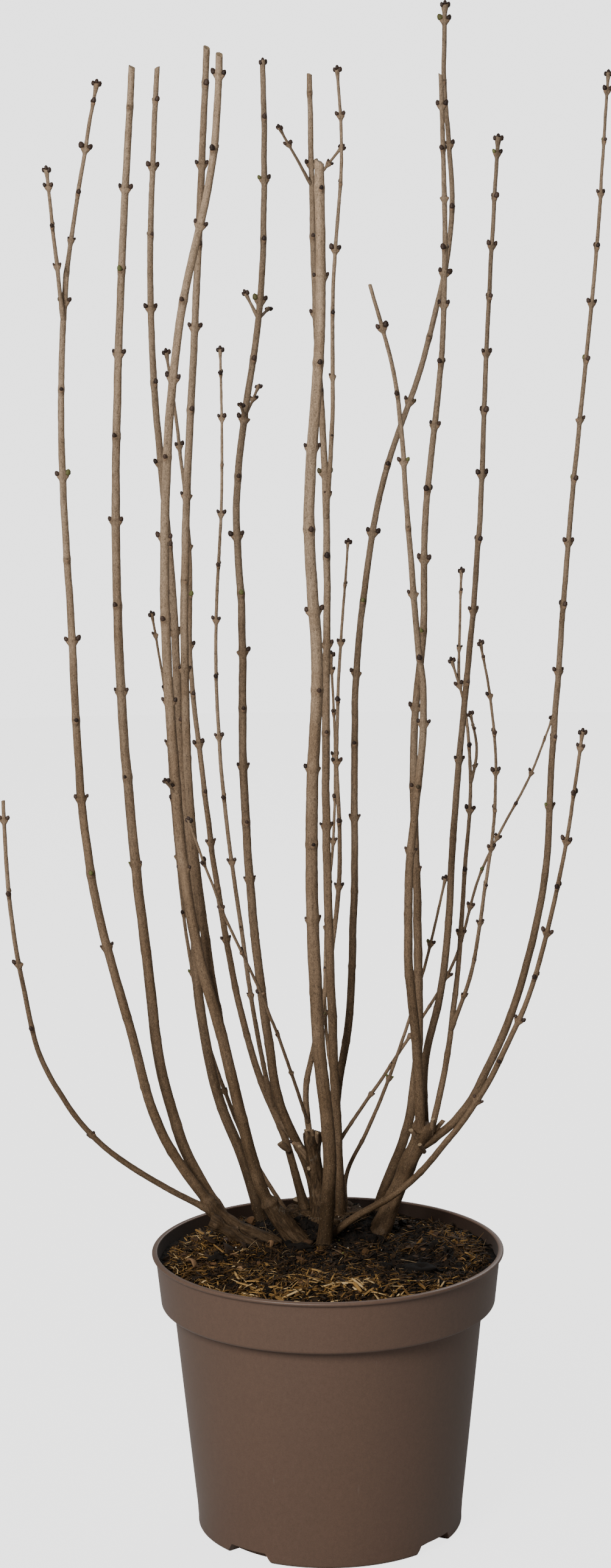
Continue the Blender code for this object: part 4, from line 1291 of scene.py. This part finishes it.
class LILAC_OT_pot(Operator):
    """Turn the moulded pot with the notches at its foot"""

    bl_idname = "lilac.pot"
    bl_label = "Pot"

    def execute(self, context):
        make_pot(pot_finish(context.scene.lilac_pot))
        return {"FINISHED"}


class LILAC_OT_compost(Operator):
    """Lay the compost with its straw chips, bark, crumbs and fine roots"""

    bl_idname = "lilac.compost"
    bl_label = "Compost"

    def execute(self, context):
        settings = context.scene.lilac_compost
        earth = compost_finish(settings)
        make_compost_surface(earth)
        rng = np.random.default_rng(11)
        make_straw(rng, settings)
        make_crumbs(rng, settings, earth)
        make_fine_roots(rng)
        return {"FINISHED"}


def make_straw(rng, settings):
    """Straw chips in drifts, and at the front a scatter of long pale blades on top of them."""
    straw = tuple(settings.straw)
    stops = [(0.0, (0.012, 0.006, 0.0025)), (0.3, (0.062, 0.029, 0.007)), (0.55, (0.17, 0.085, 0.019)),
             (0.8, straw), (1.0, (0.75, 0.54, 0.27))]
    finish = chip_finish("straw", stops, 0.65)
    count = settings.chips
    length = np.clip(settings.chip_length / MM * rng.gamma(4.0, 0.25, count), 2.5, 20)
    width = np.minimum(np.clip(rng.lognormal(-0.55, 0.6, count), 0.25, 2.2), length / 6)
    sizes = np.stack([length / 2, width, 0.12 + 0.14 * width], axis=-1)
    places = strewn_places(rng, count, straw_chance)
    pale = 0.4 + 0.75 * straw_chance(places[:, 0], places[:, 1])
    litter("straw_chips", sliver(3, 4, 1.6, 0.3), places, lie_down(rng, count, 0.8, 0.3), sizes,
           rng.beta(0.6, 1.25, count) * pale, finish, rng.uniform(0.2, 2.8, count))
    count = STRAW_FIBRES
    sizes = np.stack([rng.uniform(1.0, 3.4, count), rng.uniform(0.12, 0.32, count),
                      rng.uniform(0.1, 0.2, count)], axis=-1)
    litter("straw_fibres", sliver(2, 4, 1.5, 0.4), strewn_places(rng, count, straw_chance),
           lie_down(rng, count, 1.2, 0.45), sizes, rng.beta(1.2, 1.8, count), finish,
           rng.uniform(0.6, 3.0, count))
    count = STRAW_BLADES
    places = np.stack([rng.normal(-12, 46, count), rng.normal(-97, 11, count)], axis=-1)
    places = places * np.minimum(1.0, 120 / np.hypot(places[:, 0], places[:, 1]))[:, None]
    width = rng.uniform(0.5, 1.7, count)
    sizes = np.stack([rng.uniform(4.5, 11, count), width, 0.1 + 0.06 * width], axis=-1)
    litter("straw_blades", sliver(4, 4, 3.0, 0.25), places, lie_down(rng, count, 0.9, 0.2), sizes,
           rng.uniform(0.4, 0.95, count), finish, rng.uniform(1.8, 3.4, count))


def make_crumbs(rng, settings, earth):
    """Crumbs and clods of compost, flat and curled flakes of bark, and a few pale and green specks."""
    dark = [(0.0, (0.003, 0.002, 0.0012)), (0.4, (0.009, 0.005, 0.0025)), (0.7, (0.035, 0.018, 0.006)),
            (1.0, (0.12, 0.06, 0.02))]
    crumb = chip_finish("crumbs", dark, 0.9)
    count = settings.crumbs
    size = rng.gamma(2.2, 0.5, count)[:, None] + 0.4
    places = strewn_places(rng, count, anywhere, 130.0)
    # Crumbs are darker near the root crown and in the hollow at the front right: partly damp compost, partly
    # painted shade under the stems and in the hollow.
    light = 0.15 + 0.85 * smooth_step(1.1, 2.6, crown_distance(places[:, 0], places[:, 1]))
    light = light * (1 - 0.75 * hollow(places[:, 0], places[:, 1]))
    litter("compost_crumbs", lump(5, 6, 5, 0.55), places, lie_down(rng, count, 3.0, 0.8),
           size * rng.uniform(0.45, 1.2, (count, 3)), rng.uniform(0, 1, count) * light, crumb, 0.3, True)
    count = CLODS
    size = rng.gamma(3.0, 0.6, count)[:, None] + 0.9
    litter("clods", lump(10, 14, 6, 0.6), strewn_places(rng, count, clod_chance, 118.0),
           lie_down(rng, count, 3.0, 0.8), size * rng.uniform(0.65, 1.25, (count, 3)),
           rng.uniform(0, 0.5, count), earth, 0.4)
    places = np.array(LARGE_CLODS)
    litter("large_clods", lump(20, 28, 7, 0.55), places, lie_down(rng, len(places), 0.3, 0.2),
           np.array(LARGE_CLOD_SIZES), np.array([0.15, 0.3, 0.4]), crumb, 0.9)
    count = BARK_FLAKES
    flake = chip_finish("bark flakes", [(0.0, (0.02, 0.012, 0.007)), (0.5, (0.07, 0.036, 0.016)),
                                        (0.85, (0.17, 0.085, 0.035)), (1.0, (0.36, 0.22, 0.12))], 0.75)
    sizes = np.stack([rng.uniform(1.8, 5, count), rng.uniform(1.2, 2.8, count),
                      rng.uniform(0.4, 0.9, count)], axis=-1)
    litter("bark_flakes", lump(7, 9, 12, 0.7), strewn_places(rng, count, anywhere, 118.0),
           lie_down(rng, count, 0.6, 0.3), sizes, rng.beta(1.2, 1.6, count), flake, 1.4, True)
    places = np.array(BARK_CURLS)
    litter("bark_curls", sliver(8, 8, 3.2, 0.55), places, lie_down(rng, len(places), 0.7, 0.3),
           np.array(BARK_CURL_SIZES), np.array([0.2, 0.1, 0.25, 0.92, 0.9, 0.5, 0.75]), flake, 1.6)
    count = SPECKS
    speck = chip_finish("specks", [(0.0, (0.6, 0.56, 0.48)), (0.75, (0.4, 0.34, 0.26)),
                                   (0.8, (0.2, 0.22, 0.05)), (1.0, (0.13, 0.15, 0.03))], 0.7)
    litter("specks", lump(4, 5, 9, 0.4), strewn_places(rng, count, anywhere, 122.0),
           lie_down(rng, count, 3.0, 0.5), rng.uniform(0.3, 0.85, (count, 3)), rng.uniform(0, 1, count),
           speck, 2.0)


def make_fine_roots(rng):
    """Thin roots and stalks that arch out of the compost."""
    root = chip_finish("fine roots", [(0.0, (0.03, 0.017, 0.009)), (0.7, (0.11, 0.066, 0.03)),
                                      (1.0, (0.35, 0.25, 0.14))], 0.8)
    count = FINE_ROOTS
    sizes = np.stack([rng.uniform(4, 12, count), rng.uniform(0.13, 0.3, count),
                      rng.uniform(0.13, 0.3, count)], axis=-1)
    litter("fine_roots", sliver(7, 4, 7.0, 0.5), strewn_places(rng, count, anywhere),
           lie_down(rng, count, 1.3, 0.35), sizes, rng.uniform(0, 1, count), root, 1.0)


class LILAC_OT_stage(Operator):
    """Set up the pale floor, the soft light and the camera"""

    bl_idname = "lilac.stage"
    bl_label = "Stage"

    def execute(self, context):
        settings = context.scene.lilac_stage
        make_floor(settings)
        make_room_light(context.scene, settings)
        make_light("key light", KEY_PLACE, KEY_SIZE, settings.key, (1.0, 0.98, 0.95))
        make_light("back light", BACK_PLACE, BACK_SIZE, settings.back, (0.98, 0.99, 1.0))
        make_camera(context.scene, settings)
        return {"FINISHED"}


def make_floor(settings):
    """A round pale floor under the pot, as bright as the backdrop to the camera."""
    angle = np.arange(96) * 2 * math.pi / 96
    ring = np.stack([FLOOR_RADIUS * np.cos(angle), FLOOR_RADIUS * np.sin(angle), 0 * angle - FLOOR_DROP],
                    axis=-1)
    points = np.concatenate([ring, [(0, 0, -FLOOR_DROP)]])
    f = Finish("pale floor")
    camera = f.node("ShaderNodeLightPath", {}, {}, 0)
    glow = f.mix(camera, (0.0, 0.0, 0.0), (1.0, 1.0, 1.0))
    material = f.set(Base_Color=(0.4, 0.39, 0.38), Roughness=0.9, Emission_Color=glow,
                     Emission_Strength=settings.white - 0.2)
    mesh = bpy.data.meshes.new("floor")
    mesh.from_pydata(points.tolist(), [], fan_faces(0, 96, 96, True).tolist())
    mesh.materials.append(material)
    floor = bpy.data.objects.new("floor", mesh)
    bpy.context.scene.collection.objects.link(floor)


def make_room_light(scene, settings):
    """Even light from all round; to the camera it is the white backdrop."""
    world = bpy.data.worlds.new("white room")
    scene.world = world
    world.use_nodes = True
    tree = world.node_tree
    back = tree.nodes["Background"]
    path = tree.nodes.new("ShaderNodeLightPath")
    scale = tree.nodes.new("ShaderNodeMath")
    scale.operation = "MULTIPLY_ADD"
    scale.inputs[1].default_value = settings.white - settings.sky
    scale.inputs[2].default_value = settings.sky
    tree.links.new(path.outputs["Is Camera Ray"], scale.inputs[0])
    tree.links.new(scale.outputs[0], back.inputs["Strength"])
    back.inputs["Color"].default_value = (1.0, 1.0, 1.0, 1.0)


def make_light(name, place, size, power, colour):
    """A square soft light that faces the middle of the bush."""
    light = bpy.data.lights.new(name, "AREA")
    light.shape = "SQUARE"
    light.size = size
    light.energy = power
    light.color = colour
    lamp = bpy.data.objects.new(name, light)
    bpy.context.scene.collection.objects.link(lamp)
    aim = Vector(LIGHTS_AIM) - Vector(place)
    lamp.matrix_world = Matrix.Translation(place) @ aim.to_track_quat("-Z", "Y").to_matrix().to_4x4()


def make_camera(scene, settings):
    """The photo's view: level with the tips, looking a little down, with hardly any turn or roll."""
    camera = bpy.data.cameras.new("photo view")
    camera.lens = settings.lens
    eye = bpy.data.objects.new("photo view", camera)
    scene.collection.objects.link(eye)
    pitch, yaw, roll = (math.radians(a) for a in (EYE_PITCH, EYE_YAW, EYE_ROLL))
    ahead = Vector((math.sin(yaw) * math.cos(pitch), math.cos(yaw) * math.cos(pitch), -math.sin(pitch)))
    level = Vector((math.cos(yaw), -math.sin(yaw), 0.0))
    above = level.cross(ahead)
    right = level * math.cos(roll) + above * math.sin(roll)
    up = above * math.cos(roll) - level * math.sin(roll)
    turn = Matrix((right, up, -ahead)).transposed().to_4x4()
    eye.matrix_world = Matrix.Translation(EYE) @ turn
    scene.camera = eye


class LILAC_PT_panel(Panel):
    """Lists the pieces of the bush in the sidebar"""

    bl_label = "Lilac bush"
    bl_space_type = "VIEW_3D"
    bl_region_type = "UI"
    bl_category = "Lilac"

    def draw(self, context):
        for operator in OPERATORS:
            self.layout.operator(operator.bl_idname)
        for name, group in SETTINGS.items():
            box = self.layout.box()
            for key in group.__annotations__:
                box.prop(getattr(context.scene, name), key)


SETTINGS = {"lilac_bark": BarkSettings, "lilac_buds": BudSettings, "lilac_pot": PotSettings,
            "lilac_compost": CompostSettings, "lilac_stage": StageSettings}
OPERATORS = (LILAC_OT_stage, LILAC_OT_pot, LILAC_OT_compost, LILAC_OT_left_stems, LILAC_OT_middle_stems,
             LILAC_OT_right_stems)


def register():
    """Register the settings, the operators and the panel."""
    for name, group in SETTINGS.items():
        bpy.utils.register_class(group)
        setattr(bpy.types.Scene, name, PointerProperty(type=group))
    for operator in OPERATORS:
        bpy.utils.register_class(operator)
    bpy.utils.register_class(LILAC_PT_panel)


def unregister():
    """Take the classes and the settings away again."""
    bpy.utils.unregister_class(LILAC_PT_panel)
    for operator in reversed(OPERATORS):
        bpy.utils.unregister_class(operator)
    for name, group in SETTINGS.items():
        delattr(bpy.types.Scene, name)
        bpy.utils.unregister_class(group)


def main():
    """Register everything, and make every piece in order."""
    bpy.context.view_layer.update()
    register()
    for operator in OPERATORS:
        group, call = operator.bl_idname.split(".")
        getattr(getattr(bpy.ops, group), call)()


if __name__ == "__main__":
    main()
